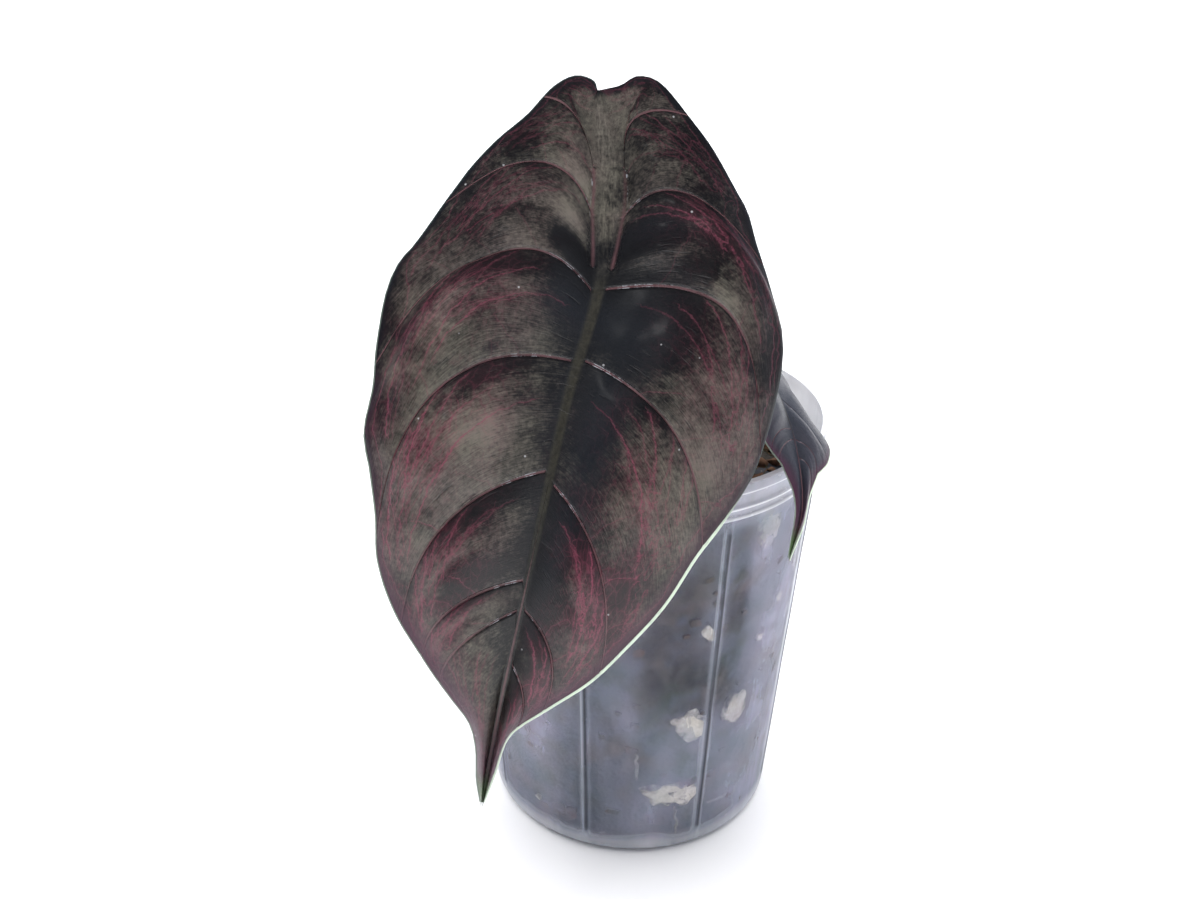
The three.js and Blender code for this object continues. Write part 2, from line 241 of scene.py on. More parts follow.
def append(mesh: EditMesh, part: EditMesh) -> None:
    """Adds one mesh to another.

    Args:
        mesh: mesh that gets it.
        part: mesh that is added, and freed.
    """
    data = bpy.data.meshes.new("part")
    part.to_mesh(data)
    part.free()
    mesh.from_mesh(data)
    bpy.data.meshes.remove(data)


# Node helpers


class NodeSheet:
    """Adds nodes to one tree and links them."""

    def __init__(self, tree: bpy.types.NodeTree) -> None:
        """Starts on an existing tree."""
        self.tree = tree

    def add(self, kind: str, settings: dict | None = None, **inputs: object) -> bpy.types.Node:
        """Adds a node.

        Args:
            kind: type of the node.
            settings: its own properties.
            **inputs: values or sockets by input name, with _ for a space, or i and a number for an
                input by its place.

        Returns:
            The node.
        """
        node = self.tree.nodes.new(kind)
        for key, value in (settings or {}).items():
            setattr(node, key, value)
        for key, value in inputs.items():
            by_place = key[0] == "i" and key[1:].isdigit()
            socket = node.inputs[int(key[1:])] if by_place else node.inputs[key.replace("_", " ")]
            if isinstance(value, Socket):
                self.tree.links.new(value, socket)
            else:
                socket.default_value = value
        return node

    def math(self, operation: str, a: object, b: object = 0.0, c: object = 0.0) -> Socket:
        """Returns the result of a Math node."""
        node = self.add("ShaderNodeMath", {"operation": operation}, i0=a, i1=b, i2=c)
        return node.outputs[0]

    def times(self, *factors: object) -> Socket:
        """Returns the product of two or more factors."""
        product = factors[0]
        for factor in factors[1:]:
            product = self.math("MULTIPLY", product, factor)
        return product

    def scaled(self, value: object, by: object, plus: object) -> Socket:
        """Returns a value times a factor, plus a second value."""
        return self.math("MULTIPLY_ADD", value, by, plus)

    def span(
        self, value: object, low: float, high: float, to_low: float = 0.0, to_high: float = 1.0
    ) -> Socket:
        """Eases a value from one range to another, and holds it at the ends.

        Args:
            value: the value.
            low: value that gives to_low.
            high: value that gives to_high, which may be the smaller of the two.
            to_low: first end of the result.
            to_high: last end of the result.

        Returns:
            The eased value.
        """
        node = self.add(
            "ShaderNodeMapRange",
            {"interpolation_type": "SMOOTHSTEP"},
            Value=value,
            From_Min=low,
            From_Max=high,
            To_Min=to_low,
            To_Max=to_high,
        )
        return node.outputs["Result"]

    def blend(self, share: object, a: object, b: object) -> Socket:
        """Mixes two colours.

        Args:
            share: how much of the second one shows, from 0 to 1.
            a: the first colour.
            b: the second colour.

        Returns:
            The mixed colour.
        """
        node = self.add("ShaderNodeMix", {"data_type": "RGBA"})
        for place, value in ((0, share), (6, a), (7, b)):
            if isinstance(value, Socket):
                self.tree.links.new(value, node.inputs[place])
            elif place:
                node.inputs[place].default_value = (*value, 1.0)
            else:
                node.inputs[place].default_value = value
        return node.outputs[2]

    def over(self, base: object, colour: object, *shares: object) -> Socket:
        """Returns a colour laid over a base by the product of some shares from 0 to 1."""
        return self.blend(self.times(*shares), base, colour)

    def noise(
        self, vector: object, scale: float, detail: float = 3.0, roughness: float = 0.55
    ) -> Socket:
        """Returns a noise value from 0 to 1."""
        node = self.add(
            "ShaderNodeTexNoise", Vector=vector, Scale=scale, Detail=detail, Roughness=roughness
        )
        return node.outputs["Fac"]

    def stretched(self, vector: object, scale: Point, turn: Point = (0.0, 0.0, 0.0)) -> Socket:
        """Returns a vector scaled along each axis, then turned by angles in radians."""
        return self.add("ShaderNodeMapping", Vector=vector, Scale=scale, Rotation=turn).outputs[0]

    def place(self) -> Socket:
        """Returns the Object coordinates."""
        return self.add("ShaderNodeTexCoord").outputs["Object"]

    def read(self, name: str) -> Socket:
        """Returns the value of a mesh attribute."""
        return self.add("ShaderNodeAttribute", {"attribute_name": name}).outputs["Fac"]

    def group(self, tree: bpy.types.NodeTree, **inputs: object) -> bpy.types.Node:
        """Places a node group.

        Args:
            tree: the group.
            **inputs: values or sockets by input name, with _ for a space.

        Returns:
            Its node.
        """
        node = self.tree.nodes.new("ShaderNodeGroup")
        node.node_tree = tree
        for key, value in inputs.items():
            socket = node.inputs[key.replace("_", " ")]
            if isinstance(value, Socket):
                self.tree.links.new(value, socket)
            else:
                socket.default_value = value
        return node

    def bump(self, height: object, strength: float, depth: float) -> Socket:
        """Returns a bumped normal; depth is in metres."""
        node = self.add("ShaderNodeBump", Height=height, Strength=strength, Distance=depth)
        return node.outputs["Normal"]


def new_group(name: str, inputs: dict[str, tuple[str, object]], outputs: dict[str, str]) -> tuple:
    """Makes an empty shader node group.

    Args:
        name: name of the group.
        inputs: kind and default value of each input by name.
        outputs: kind of each output by name.

    Returns:
        The group, its sheet, the node that holds its inputs and the node that takes its outputs.
    """
    tree = bpy.data.node_groups.new(name, "ShaderNodeTree")
    for key, (kind, value) in inputs.items():
        socket = tree.interface.new_socket(key, in_out="INPUT", socket_type=kind)
        if value is not None:
            socket.default_value = value
    for key, kind in outputs.items():
        tree.interface.new_socket(key, in_out="OUTPUT", socket_type=kind)
    given = tree.nodes.new("NodeGroupInput")
    taken = tree.nodes.new("NodeGroupOutput")
    return tree, NodeSheet(tree), given, taken


FLOAT, VECTOR = "NodeSocketFloat", "NodeSocketVector"


def dust_group() -> bpy.types.NodeTree:
    """Returns a group that scatters small pale specks and short scratches."""
    tree, sheet, given, taken = new_group(
        "dust",
        {"Vector": (VECTOR, None), "Scale": (FLOAT, 300.0), "Amount": (FLOAT, 0.1)},
        {"Mask": FLOAT},
    )
    cells = sheet.add(
        "ShaderNodeTexVoronoi", Vector=given.outputs["Vector"], Scale=given.outputs["Scale"]
    )
    speck = sheet.span(cells.outputs["Distance"], 0.16, 0.08)
    chosen = sheet.add("ShaderNodeSeparateColor", Color=cells.outputs["Color"]).outputs[0]
    kept = sheet.math("LESS_THAN", chosen, given.outputs["Amount"])
    lines = sheet.add(
        "ShaderNodeTexVoronoi",
        Vector=sheet.stretched(given.outputs["Vector"], (1.0, 0.22, 0.16), (0.3, 0.5, 0.9)),
        Scale=sheet.times(given.outputs["Scale"], 0.45),
    )
    chosen = sheet.add("ShaderNodeSeparateColor", Color=lines.outputs["Color"]).outputs[1]
    few = sheet.math("LESS_THAN", chosen, sheet.times(given.outputs["Amount"], 0.4))
    scratch = sheet.times(sheet.span(lines.outputs["Distance"], 0.09, 0.05), few)
    both = sheet.math("MAXIMUM", sheet.times(speck, kept), scratch)
    tree.links.new(both, taken.inputs["Mask"])
    return tree


def vein_net_group() -> bpy.types.NodeTree:
    """Returns a group that draws a net of fine veins that follows the blade's own lines."""
    tree, sheet, given, taken = new_group(
        "vein_net",
        {
            "Place": (FLOAT, 0.0),
            "Across": (FLOAT, 0.0),
            "Cells": (FLOAT, 4.0),
            "Width": (FLOAT, 0.05),
            "Warp": (VECTOR, None),
        },
        {"Mask": FLOAT},
    )
    wide = sheet.times(given.outputs["Across"], 2.2)
    flat = sheet.add("ShaderNodeCombineXYZ", X=wide, Y=given.outputs["Place"])
    sway = sheet.add("ShaderNodeTexNoise", Vector=given.outputs["Warp"], Scale=130.0, Detail=3.0)
    centred = sheet.add(
        "ShaderNodeVectorMath", {"operation": "SUBTRACT"}, i0=sway.outputs["Color"], i1=(0.5,) * 3
    )
    shift = sheet.add("ShaderNodeVectorMath", {"operation": "SCALE"}, i0=centred.outputs[0], Scale=0.3)
    moved = sheet.add(
        "ShaderNodeVectorMath", {"operation": "ADD"}, i0=flat.outputs[0], i1=shift.outputs[0]
    )
    cells = sheet.add(
        "ShaderNodeTexVoronoi",
        {"feature": "DISTANCE_TO_EDGE", "voronoi_dimensions": "2D"},
        Vector=moved.outputs[0],
        Scale=given.outputs["Cells"],
    )
    line = sheet.add(
        "ShaderNodeMapRange",
        {"interpolation_type": "SMOOTHSTEP"},
        Value=cells.outputs["Distance"],
        From_Min=given.outputs["Width"],
        From_Max=0.0,
    )
    tree.links.new(line.outputs["Result"], taken.inputs["Mask"])
    return tree


def haze_group() -> bpy.types.NodeTree:
    """Returns a group that gives plastic its cloudy patches, drips and rubbed streaks."""
    tree, sheet, given, taken = new_group(
        "haze", {"Vector": (VECTOR, None)}, {"Cloud": FLOAT, "Streak": FLOAT}
    )
    vector = given.outputs["Vector"]
    cloud = sheet.noise(sheet.stretched(vector, (1.0, 1.0, 0.45)), 42.0, 4.0, 0.55)
    streak = sheet.noise(sheet.stretched(vector, (1.0, 1.0, 0.12)), 160.0, 4.0, 0.65)
    tree.links.new(sheet.span(cloud, 0.3, 0.75), taken.inputs["Cloud"])
    tree.links.new(sheet.span(streak, 0.45, 0.8), taken.inputs["Streak"])
    return tree


@dataclass(frozen=True)
class Effects:
    """The node groups that several finishes share."""

    dust: bpy.types.NodeTree
    vein_net: bpy.types.NodeTree
    haze: bpy.types.NodeTree


def new_material(name: str) -> tuple[Look, NodeSheet, bpy.types.Node]:
    """Makes a material.

    Args:
        name: name of the material.

    Returns:
        The material, its sheet and its Principled BSDF.
    """
    material = bpy.data.materials.new(name)
    material.use_nodes = True
    sheet = NodeSheet(material.node_tree)
    return material, sheet, material.node_tree.nodes["Principled BSDF"]


def feed(sheet: NodeSheet, shader: bpy.types.Node, **inputs: object) -> None:
    """Sets or links inputs of a shader.

    Args:
        sheet: sheet of the shader's tree.
        shader: the shader.
        **inputs: values or sockets by input name, with _ for a space.
    """
    for key, value in inputs.items():
        socket = shader.inputs[key.replace("_", " ")]
        if isinstance(value, Socket):
            sheet.tree.links.new(value, socket)
        elif isinstance(value, tuple) and len(value) == 3:
            socket.default_value = (*value, 1.0)
        else:
            socket.default_value = value


# Finishes


@dataclass(frozen=True)
class LeafFace:
    """The near-black satin upper face: taupe bloom, crimson veins, purple margin, and painted sheen,
    shade, blue-black reflection and glints.
    """

    name: str = "leaf_upper"
    dark: Colour = (0.0038, 0.0037, 0.0045)
    bloom_and_sheen: Colour = (0.146, 0.133, 0.106)
    warm: Colour = (0.148, 0.121, 0.104)
    blue_reflection: Colour = (0.006, 0.008, 0.012)
    crimson: Colour = (0.225, 0.045, 0.080)
    rib: Colour = (0.028, 0.026, 0.019)
    cord: Colour = (0.125, 0.062, 0.068)
    purple: Colour = (0.058, 0.016, 0.038)
    green: Colour = (0.045, 0.085, 0.028)
    speck: Colour = (0.60, 0.60, 0.62)
    painted_glint: Colour = (0.33, 0.34, 0.37)
    roughness: float = 0.33
    red: float = 1.0
    mottle: float = 60.0

    def build(self, effects: Effects) -> Look:
        """Builds the material.

        Args:
            effects: shared node groups.

        Returns:
            The material.
        """
        material, sheet, shader = new_material(self.name)
        point = sheet.place()
        place = sheet.times(sheet.read("place"), SPACES)
        across = sheet.read("across")

        # Fine streaks that run with the side veins, or along the upper band, and soft mottling.
        band = sheet.read("band")
        level = sheet.add("ShaderNodeSeparateXYZ", Vector=point).outputs[0]
        flat = sheet.add(
            "ShaderNodeCombineXYZ",
            X=sheet.scaled(sheet.times(band, level), 1800.0, sheet.times(across, 16.0)),
            Y=sheet.times(place, sheet.scaled(band, -84.0, 90.0)),
        ).outputs[0]
        streak = sheet.noise(flat, 1.0, 4.0, 0.7)
        mottle = sheet.noise(point, self.mottle, 6.0, 0.65)
        grain = sheet.noise(point, self.mottle * 14, 3.0, 0.7)
        # Taupe bloom with painted sheen: lighter where the blade tilts down and on its swells.
        share = sheet.read("bloom_and_sheen")
        for pattern, weight in ((mottle, 2.2), (streak, 2.0), (grain, 1.5)):
            share = sheet.scaled(sheet.math("SUBTRACT", pattern, 0.5), weight, share)
        # Painted shade, and painted light where it is below zero, from the spots and along the margins.
        share = sheet.span(sheet.math("SUBTRACT", share, sheet.read("shade")), 0.02, 1.85)
        warmth = sheet.span(sheet.noise(point, 36.0, 3.0), 0.42, 0.58)
        base = sheet.blend(share, self.dark, sheet.blend(warmth, self.bloom_and_sheen, self.warm))
        # Painted blue-black reflection.
        base = sheet.over(base, self.blue_reflection, sheet.read("blue_reflection"), 0.85)

        # Short crosswise wrinkles, bumped, with painted shade in them.
        creased = sheet.add(
            "ShaderNodeCombineXYZ", X=sheet.times(across, 7.0), Y=sheet.times(place, 24.0)
        ).outputs[0]
        wrinkle = sheet.times(
            sheet.span(sheet.noise(creased, 1.0, 2.0, 0.5), 0.60, 0.72),
            sheet.span(sheet.noise(point, 48.0, 2.0), 0.45, 0.62),
        )
        base = sheet.over(base, self.dark, wrinkle, 0.6)

        # Fine veins with their twigs, the net between them and the flush round them.
        sway = sheet.scaled(sheet.noise(point, 190.0, 4.0, 0.6), 3.0, -1.5)
        line, glow = 0.0, 0.0
        for far, vigour, wide in (("vein", "vigour", 0.32), ("twig", "twig_vigour", 0.25)):
            away = sheet.math("ABSOLUTE", sheet.math("ADD", sheet.read(far), sway))
            strength = sheet.read(vigour)
            line = sheet.math("MAXIMUM", line, sheet.times(sheet.span(away, wide, 0.04), strength))
            glow = sheet.math("MAXIMUM", glow, sheet.times(sheet.span(away, 1.8, 0.1), strength))
        line = sheet.times(line, sheet.span(sheet.noise(point, 2200.0, 2.0), 0.32, 0.6, 0.3, 1.0))
        net = sheet.group(
            effects.vein_net, Place=place, Across=across, Cells=9.5, Width=0.12, Warp=point
        ).outputs["Mask"]
        flush = sheet.read("flush")
        patch = sheet.span(sheet.noise(point, 70.0, 5.0, 0.7), 0.38, 0.66)
        tint = sheet.times(flush, sheet.scaled(patch, 0.4, sheet.times(glow, 0.45)))
        tint = sheet.times(tint, sheet.span(grain, 0.3, 0.6, 0.5, 1.0))
        wisp = sheet.times(net, sheet.times(flush, sheet.scaled(patch, 0.25, 0.03)))
        shown = sheet.times(line, sheet.scaled(flush, 0.7, 0.2))
        for mask, weight in ((tint, 0.36), (wisp, 1.0), (shown, 1.0)):
            base = sheet.over(base, self.crimson, mask, weight * self.red)

        # Side veins, with painted shadow below them and painted glints near their roots; midrib, margin
        # and tip.
        lateral = sheet.read("lateral")
        out = sheet.math("ABSOLUTE", across)
        cord = sheet.times(
            sheet.span(lateral, 0.46, 0.10), sheet.span(mottle, 0.35, 0.55, 0.35, 0.9)
        )
        # Painted glints: pale flecks beside the side veins near the midrib.
        root_glints = sheet.times(
            sheet.span(lateral, 0.45, 0.30),
            sheet.span(lateral, 0.10, 0.22),
            sheet.span(out, 0.3, 0.06),
            sheet.span(out, 0.03, 0.045),
            sheet.span(sheet.noise(point, 420.0, 4.0, 0.7), 0.47, 0.58),
        )
        fibre = sheet.blend(sheet.span(grain, 0.35, 0.65, 0.55, 1.0), self.dark, self.rib)
        # Painted shadow below each side vein.
        base = sheet.over(base, self.dark, sheet.read("under"), 0.8)
        base = sheet.over(base, self.cord, cord)
        base = sheet.over(base, self.painted_glint, root_glints, 0.85)
        base = sheet.over(base, fibre, sheet.read("rib"))
        base = sheet.over(base, self.purple, sheet.read("edge"), 0.8)
        base = sheet.over(base, self.green, sheet.read("tip"))
        dust = sheet.group(effects.dust, Vector=point, Scale=420.0, Amount=0.02).outputs["Mask"]
        base = sheet.over(base, self.speck, dust, 0.5)

        # The blade is smoother on its side veins, and wet-looking at their roots.
        satin = sheet.span(lateral, 0.9, 0.2, self.roughness - 0.12, self.roughness - 0.26)
        satin = sheet.scaled(streak, 0.24, satin)
        wet = sheet.times(sheet.span(lateral, 0.6, 0.25), sheet.span(out, 0.16, 0.05))
        height = sheet.times(grain, 0.30)
        for pattern, weight in ((line, -0.5), (net, -0.10), (streak, 1.1), (wrinkle, -1.6)):
            height = sheet.scaled(pattern, weight, height)
        height = sheet.scaled(sheet.noise(point, 210.0, 3.0), 0.6, height)
        feed(
            sheet,
            shader,
            Base_Color=base,
            Roughness=sheet.times(satin, sheet.scaled(wet, -0.8, 1.0)),
            Coat_Weight=0.08,
            Coat_Roughness=0.18,
            Specular_IOR_Level=0.42,
            Normal=sheet.bump(height, 0.45, 0.0003),
        )
        return material


@dataclass(frozen=True)
class PlantSkin:
    """A living surface in one main colour, with a second one in patches and along it."""

    name: str
    main: Colour
    second: Colour
    third: Colour
    roughness: float = 0.5
    scale: float = 90.0
    relief: float = 0.3
    coat: float = 0.1
    dust: Colour = (0.6, 0.58, 0.55)

    def build(self, effects: Effects) -> Look:
        """Builds the material.

        Args:
            effects: shared node groups.

        Returns:
            The material.
        """
        material, sheet, shader = new_material(self.name)
        point = sheet.place()
        broad = sheet.noise(point, self.scale, 4.0)
        fibre = sheet.noise(sheet.stretched(point, (1.0, 1.0, 0.18)), self.scale * 9, 4.0)
        base = sheet.blend(sheet.span(broad, 0.35, 0.65), self.main, self.second)
        base = sheet.blend(sheet.span(fibre, 0.5, 0.8), base, self.third)
        dust = sheet.group(effects.dust, Vector=point, Scale=380.0, Amount=0.02).outputs["Mask"]
        base = sheet.over(base, self.dust, dust, 0.4)
        feed(
            sheet,
            shader,
            Base_Color=base,
            Roughness=sheet.scaled(fibre, 0.25, self.roughness - 0.12),
            Coat_Weight=self.coat,
            Coat_Roughness=0.3,
            Normal=sheet.bump(fibre, self.relief, 0.0004),
        )
        return material


@dataclass(frozen=True)
class MarginFinish:
    """The blade's edge: pale green where the layer "pale" says so, and dark teal elsewhere."""

    name: str = "leaf_margin"
    pale: Colour = (0.62, 0.72, 0.58)
    dark: Colour = (0.020, 0.035, 0.034)

    def build(self) -> Look:
        """Builds the material.

        Returns:
            The material.
        """
        material, sheet, shader = new_material(self.name)
        blotch = sheet.noise(sheet.place(), 240.0, 3.0)
        uneven = sheet.span(blotch, 0.2, 0.5, 0.75, 1.0)
        base = sheet.over(self.dark, self.pale, sheet.read("pale"), uneven)
        feed(
            sheet,
            shader,
            Base_Color=base,
            Roughness=0.4,
            Coat_Weight=0.2,
            Coat_Roughness=0.25,
            Normal=sheet.bump(blotch, 0.2, 0.0003),
        )
        return material


@dataclass(frozen=True)
class ClearPlastic:
    """Thin clear plastic, clouded by moisture and handling, with painted shadows and highlights along its
    ribs and painted light on its foot.
    """

    name: str = "clear_plastic"
    tint: Colour = (0.30, 0.345, 0.45)
    pale: Colour = (0.53, 0.53, 0.68)
    shadow: Colour = (0.035, 0.040, 0.055)
    lit: Colour = (0.70, 0.74, 0.80)
    pale_rim_and_foot: Colour = (0.74, 0.75, 0.78)
    stains: tuple[tuple[Colour, float], ...] = (
        ((0.30, 0.25, 0.24), 85.0),
        ((0.15, 0.24, 0.26), 55.0),
        ((0.42, 0.36, 0.50), 120.0),
    )
    cover: float = 0.135
    cloud: float = 0.20
    edge: float = 0.22
    roughness: float = 0.25

    def build(self, effects: Effects) -> Look:
        """Builds the material.

        Args:
            effects: shared node groups.

        Returns:
            The material.
        """
        material, sheet, shader = new_material(self.name)
        point = sheet.place()
        haze = sheet.group(effects.haze, Vector=point)
        cloud, streak = haze.outputs["Cloud"], haze.outputs["Streak"]
        facing = sheet.add("ShaderNodeLayerWeight", Blend=0.3).outputs["Facing"]
        crease, rib_shadow, rib_highlight = sheet.read("crease"), sheet.read("rib_shadow"), sheet.read("rib_highlight")
        dust = sheet.group(effects.dust, Vector=point, Scale=260.0, Amount=0.04).outputs["Mask"]
        cover = sheet.scaled(streak, 0.10, sheet.scaled(cloud, self.cloud, self.cover))
        cover = sheet.times(cover, sheet.math("SUBTRACT", 1.0, sheet.read("wet")))
        masks = ((facing, self.edge), (crease, 0.45), (rib_highlight, 0.2), (rib_shadow, 0.6), (dust, 0.15))
        for mask, weight in masks:
            cover = sheet.scaled(mask, weight, cover)
        base = sheet.blend(cloud, self.tint, self.pale)
        for colour, scale in self.stains:
            stain = sheet.span(sheet.noise(point, scale, 5.0, 0.65), 0.46, 0.66, 0.0, 0.45)
            base = sheet.blend(stain, base, colour)
        # Painted highlights beside each rib and painted shadow along it.
        base = sheet.over(base, self.lit, rib_highlight, 0.6)
        base = sheet.over(base, self.shadow, rib_shadow)
        # Pale rings on the rim, and painted light round the foot.
        base = sheet.over(base, self.pale_rim_and_foot, crease)
        feed(
            sheet,
            shader,
            Base_Color=base,
            Alpha=sheet.math("MINIMUM", cover, 0.9),
            Roughness=sheet.scaled(cloud, 0.2, self.roughness),
            Specular_IOR_Level=0.3,
            Normal=sheet.bump(sheet.math("ADD", streak, cloud), 0.08, 0.0006),
        )
        return material


@dataclass(frozen=True)
class Crumb:
    """One kind of grain in the potting mix."""

    name: str
    main: Colour
    second: Colour
    roughness: float = 0.85
    scale: float = 220.0
    relief: float = 0.7
    soft_edge: bool = False
    patches: tuple[tuple[Colour, float], ...] = ()
    rim_shade: Colour = (0.022, 0.020, 0.018)
    dust: Colour = (0.5, 0.45, 0.38)

    def build(self, effects: Effects) -> Look:
        """Builds the material.

        Args:
            effects: shared node groups.

        Returns:
            The material.
        """
        material, sheet, shader = new_material(self.name)
        point = sheet.place()
        broad = sheet.noise(point, self.scale, 5.0, 0.65)
        pits = sheet.add("ShaderNodeTexVoronoi", Vector=point, Scale=self.scale * 2.2)
        base = sheet.blend(sheet.span(broad, 0.35, 0.62), self.main, self.second)
        base = sheet.blend(sheet.span(pits.outputs["Distance"], 0.4, 0.1, 0.0, 0.25), base, self.main)
        for colour, scale in self.patches:
            patch = sheet.span(sheet.noise(point, scale, 4.0, 0.6), 0.48, 0.66, 0.0, 0.8)
            base = sheet.over(base, colour, patch)
        # Painted shade: a pumice lump darkens towards its rim, where the layer heart falls.
        if self.soft_edge:
            kept = sheet.scaled(sheet.noise(point, 260.0, 5.0, 0.6), 1.6, sheet.read("heart"))
            base = sheet.over(self.rim_shade, base, sheet.span(kept, 0.55, 1.2))
        dust = sheet.group(effects.dust, Vector=point, Scale=500.0, Amount=0.04).outputs["Mask"]
        base = sheet.over(base, self.dust, dust, 0.35)
        height = sheet.scaled(pits.outputs["Distance"], 0.6, broad)
        feed(
            sheet,
            shader,
            Base_Color=base,
            Roughness=sheet.scaled(broad, 0.2, self.roughness - 0.1),
            Specular_IOR_Level=0.25,
            Normal=sheet.bump(height, self.relief, 0.0008),
        )
        return material


# Leaves

Outline = tuple[tuple[float, float], ...]

MARGIN_LEFT: Outline = (
    (-0.6, -54.0), (-2.0, -56.6), (-7.4, -57.3), (-14.6, -53.4), (-22, -44.5), (-30, -36), (-37, -26),
    (-43, -15), (-48.4, 0), (-50.8, 15), (-49.2, 28), (-47.6, 37), (-47.2, 48), (-43.5, 58),
    (-40, 68), (-37.2, 79), (-30.5, 91), (-21, 101.5), (-12, 110.5), (-6.5, 116.5), (-3.8, 124),
    (-2.4, 133), (-0.4, 140.4),
)  # fmt: skip
MARGIN_RIGHT: Outline = (
    (0.6, -54.0), (5.2, -55.7), (9.0, -58.4), (14.2, -56.0), (22, -44), (29, -33), (35, -24), (38.5, -15),
    (43.5, -5.5), (48.5, 3), (50.3, 13), (50.7, 25), (49.5, 38), (45.5, 49.5), (40, 61), (35, 75),
    (28.5, 87), (21.5, 98), (12.5, 107.8), (6, 114.5), (3, 120), (1.8, 130), (0.4, 140.4),
)  # fmt: skip


@dataclass(frozen=True)
class Vein:
    """A side vein: its root along the midrib, its angle there, its first reach and where it runs out."""

    root: float
    leave: float
    reach: float
    end: float


VEINS_LEFT = (
    Vein(-54.0, 120, 0.4, 0),
    Vein(-32, 179, 0.8, 3.3),
    Vein(-19, 158, 0.7, 6.7),
    Vein(0.5, 134, 0.65, 10.4),
    Vein(19.5, 84, 0.65, 14.5),
    Vein(48, 66, 0.6, 16.2),
    Vein(76, 70, 0.7, 16.9),
    Vein(84, 58, 0.7, 17.5),
    Vein(140.4, 10, 0.4, 22),
)
VEINS_RIGHT = (
    Vein(-54.0, 120, 0.4, 0),
    Vein(-32, 178, 0.9, 3.7),
    Vein(-19, 150, 0.56, 7.4),
    Vein(-0.5, 107, 0.75, 11.5),
    Vein(18.5, 82, 0.55, 13.8),
    Vein(51, 54, 0.53, 16.8),
    Vein(83.5, 60, 0.55, 18.2),
    Vein(98, 45, 0.55, 19.2),
    Vein(140.4, 10, 0.4, 22),
)


@dataclass(frozen=True)
class Blotch:
    """A soft spot on a blade.

    across is from -1 at the left margin to 1 at the right one, place counts the side veins from the notch,
    wide and tall are the spot's reaches in those two, and amount is its strength.
    """

    across: float
    place: float
    wide: float
    tall: float
    amount: float


def spots(*rows: tuple[float, float, float, float, float]) -> tuple[Blotch, ...]:
    """Returns a spot for each row of across, place, wide, tall and amount."""
    return tuple(Blotch(*row) for row in rows)


# Hollows and rises of the front blade, in millimetres.
DENTS = spots(
    (0.18, 2.68, 0.13, 0.16, 1.7), (-0.12, 2.62, 0.1, 0.17, -1.4), (-0.48, 4.4, 0.25, 0.25, 1.0),
    (0.4, 2.9, 0.12, 0.12, 1.0), (0.7, 4.1, 0.3, 0.3, 0.9),
)  # fmt: skip
# Painted shade, and painted light where the amount is below zero.
SHADES = spots(
    (0.14, 2.5, 0.17, 0.2, 1.4), (0.22, 2.84, 0.2, 0.1, 0.6), (0.18, 3.45, 0.2, 0.45, 1.3),
    (-0.14, 2.8, 0.11, 0.14, 1.3), (-0.35, 5.8, 0.24, 0.17, 1.6), (-0.3, 4.12, 0.12, 0.08, 0.5),
    (-0.15, 5.14, 0.26, 0.12, 0.7), (0.14, 4.5, 0.18, 0.5, 0.9), (0.35, 5.05, 0.3, 0.15, 0.6),
    (0.12, 5.6, 0.16, 0.5, 0.7), (0.4, 6.2, 0.3, 0.4, 0.4), (0.35, 6.9, 0.5, 0.4, 0.4),
    (-0.75, 2.0, 0.4, 0.8, 0.38), (-0.6, 0.5, 0.4, 0.35, 0.3), (0.6, 0.7, 0.4, 0.5, 0.15),
    (-0.15, 1.5, 0.2, 0.25, 0.3), (0.6, 6.9, 0.5, 0.6, 0.6), (-0.14, 4.45, 0.08, 0.3, 0.4),
    (-0.2, 6.6, 0.2, 0.4, -0.45), (0.3, 5.65, 0.25, 0.3, 0.35), (0.75, 1.8, 0.4, 0.9, 0.6),
    (-0.5, 3.15, 0.35, 0.12, 0.6), (-0.28, 3.92, 0.03, 0.03, 0.8), (-0.25, 1.85, 0.3, 0.2, -0.3),
    (-0.2, 2.42, 0.12, 0.12, -0.7), (-0.25, 4.5, 0.25, 0.2, -0.6), (-0.6, 4.1, 0.2, 0.2, -0.4),
    (0.46, 2.9, 0.09, 0.09, -0.6), (0.75, 3.9, 0.25, 0.4, -0.4), (0.15, 3.15, 0.16, 0.25, 0.9),
    (0.6, 2.4, 0.35, 0.35, 0.5), (0.72, 4.82, 0.25, 0.2, 0.9), (0.65, 6.3, 0.4, 0.6, 0.5),
    (0.8, 3.2, 0.25, 0.2, -0.6), (-0.15, 4.2, 0.12, 0.1, -0.5), (-0.3, 7.0, 0.3, 0.5, -0.2),
)  # fmt: skip
# Where the blade gets painted blue-black reflection.
BLUE_REFLECTIONS = spots(
    (0.12, 3.5, 0.18, 0.5, 0.8), (0.14, 4.5, 0.15, 0.5, 0.9), (0.12, 5.4, 0.12, 0.5, 0.7),
    (0.1, 6.3, 0.1, 0.4, 0.5), (-0.1, 3.4, 0.12, 0.25, 0.6), (0.2, 2.4, 0.2, 0.2, 0.5),
)  # fmt: skip
# Where the crimson is strong.
FLUSHES = spots(
    (-0.5, 4.3, 0.26, 0.26, 0.8), (-0.5, 3.5, 0.3, 0.25, 0.3), (-0.5, 2.45, 0.25, 0.2, 0.35),
    (0.5, 2.4, 0.25, 0.2, 0.4), (0.42, 5.3, 0.3, 0.7, 0.5), (0.75, 5.6, 0.3, 0.7, 0.4),
    (-0.7, 5.9, 0.35, 0.6, 0.4), (0.45, 6.6, 0.4, 0.6, 0.4),
)  # fmt: skip


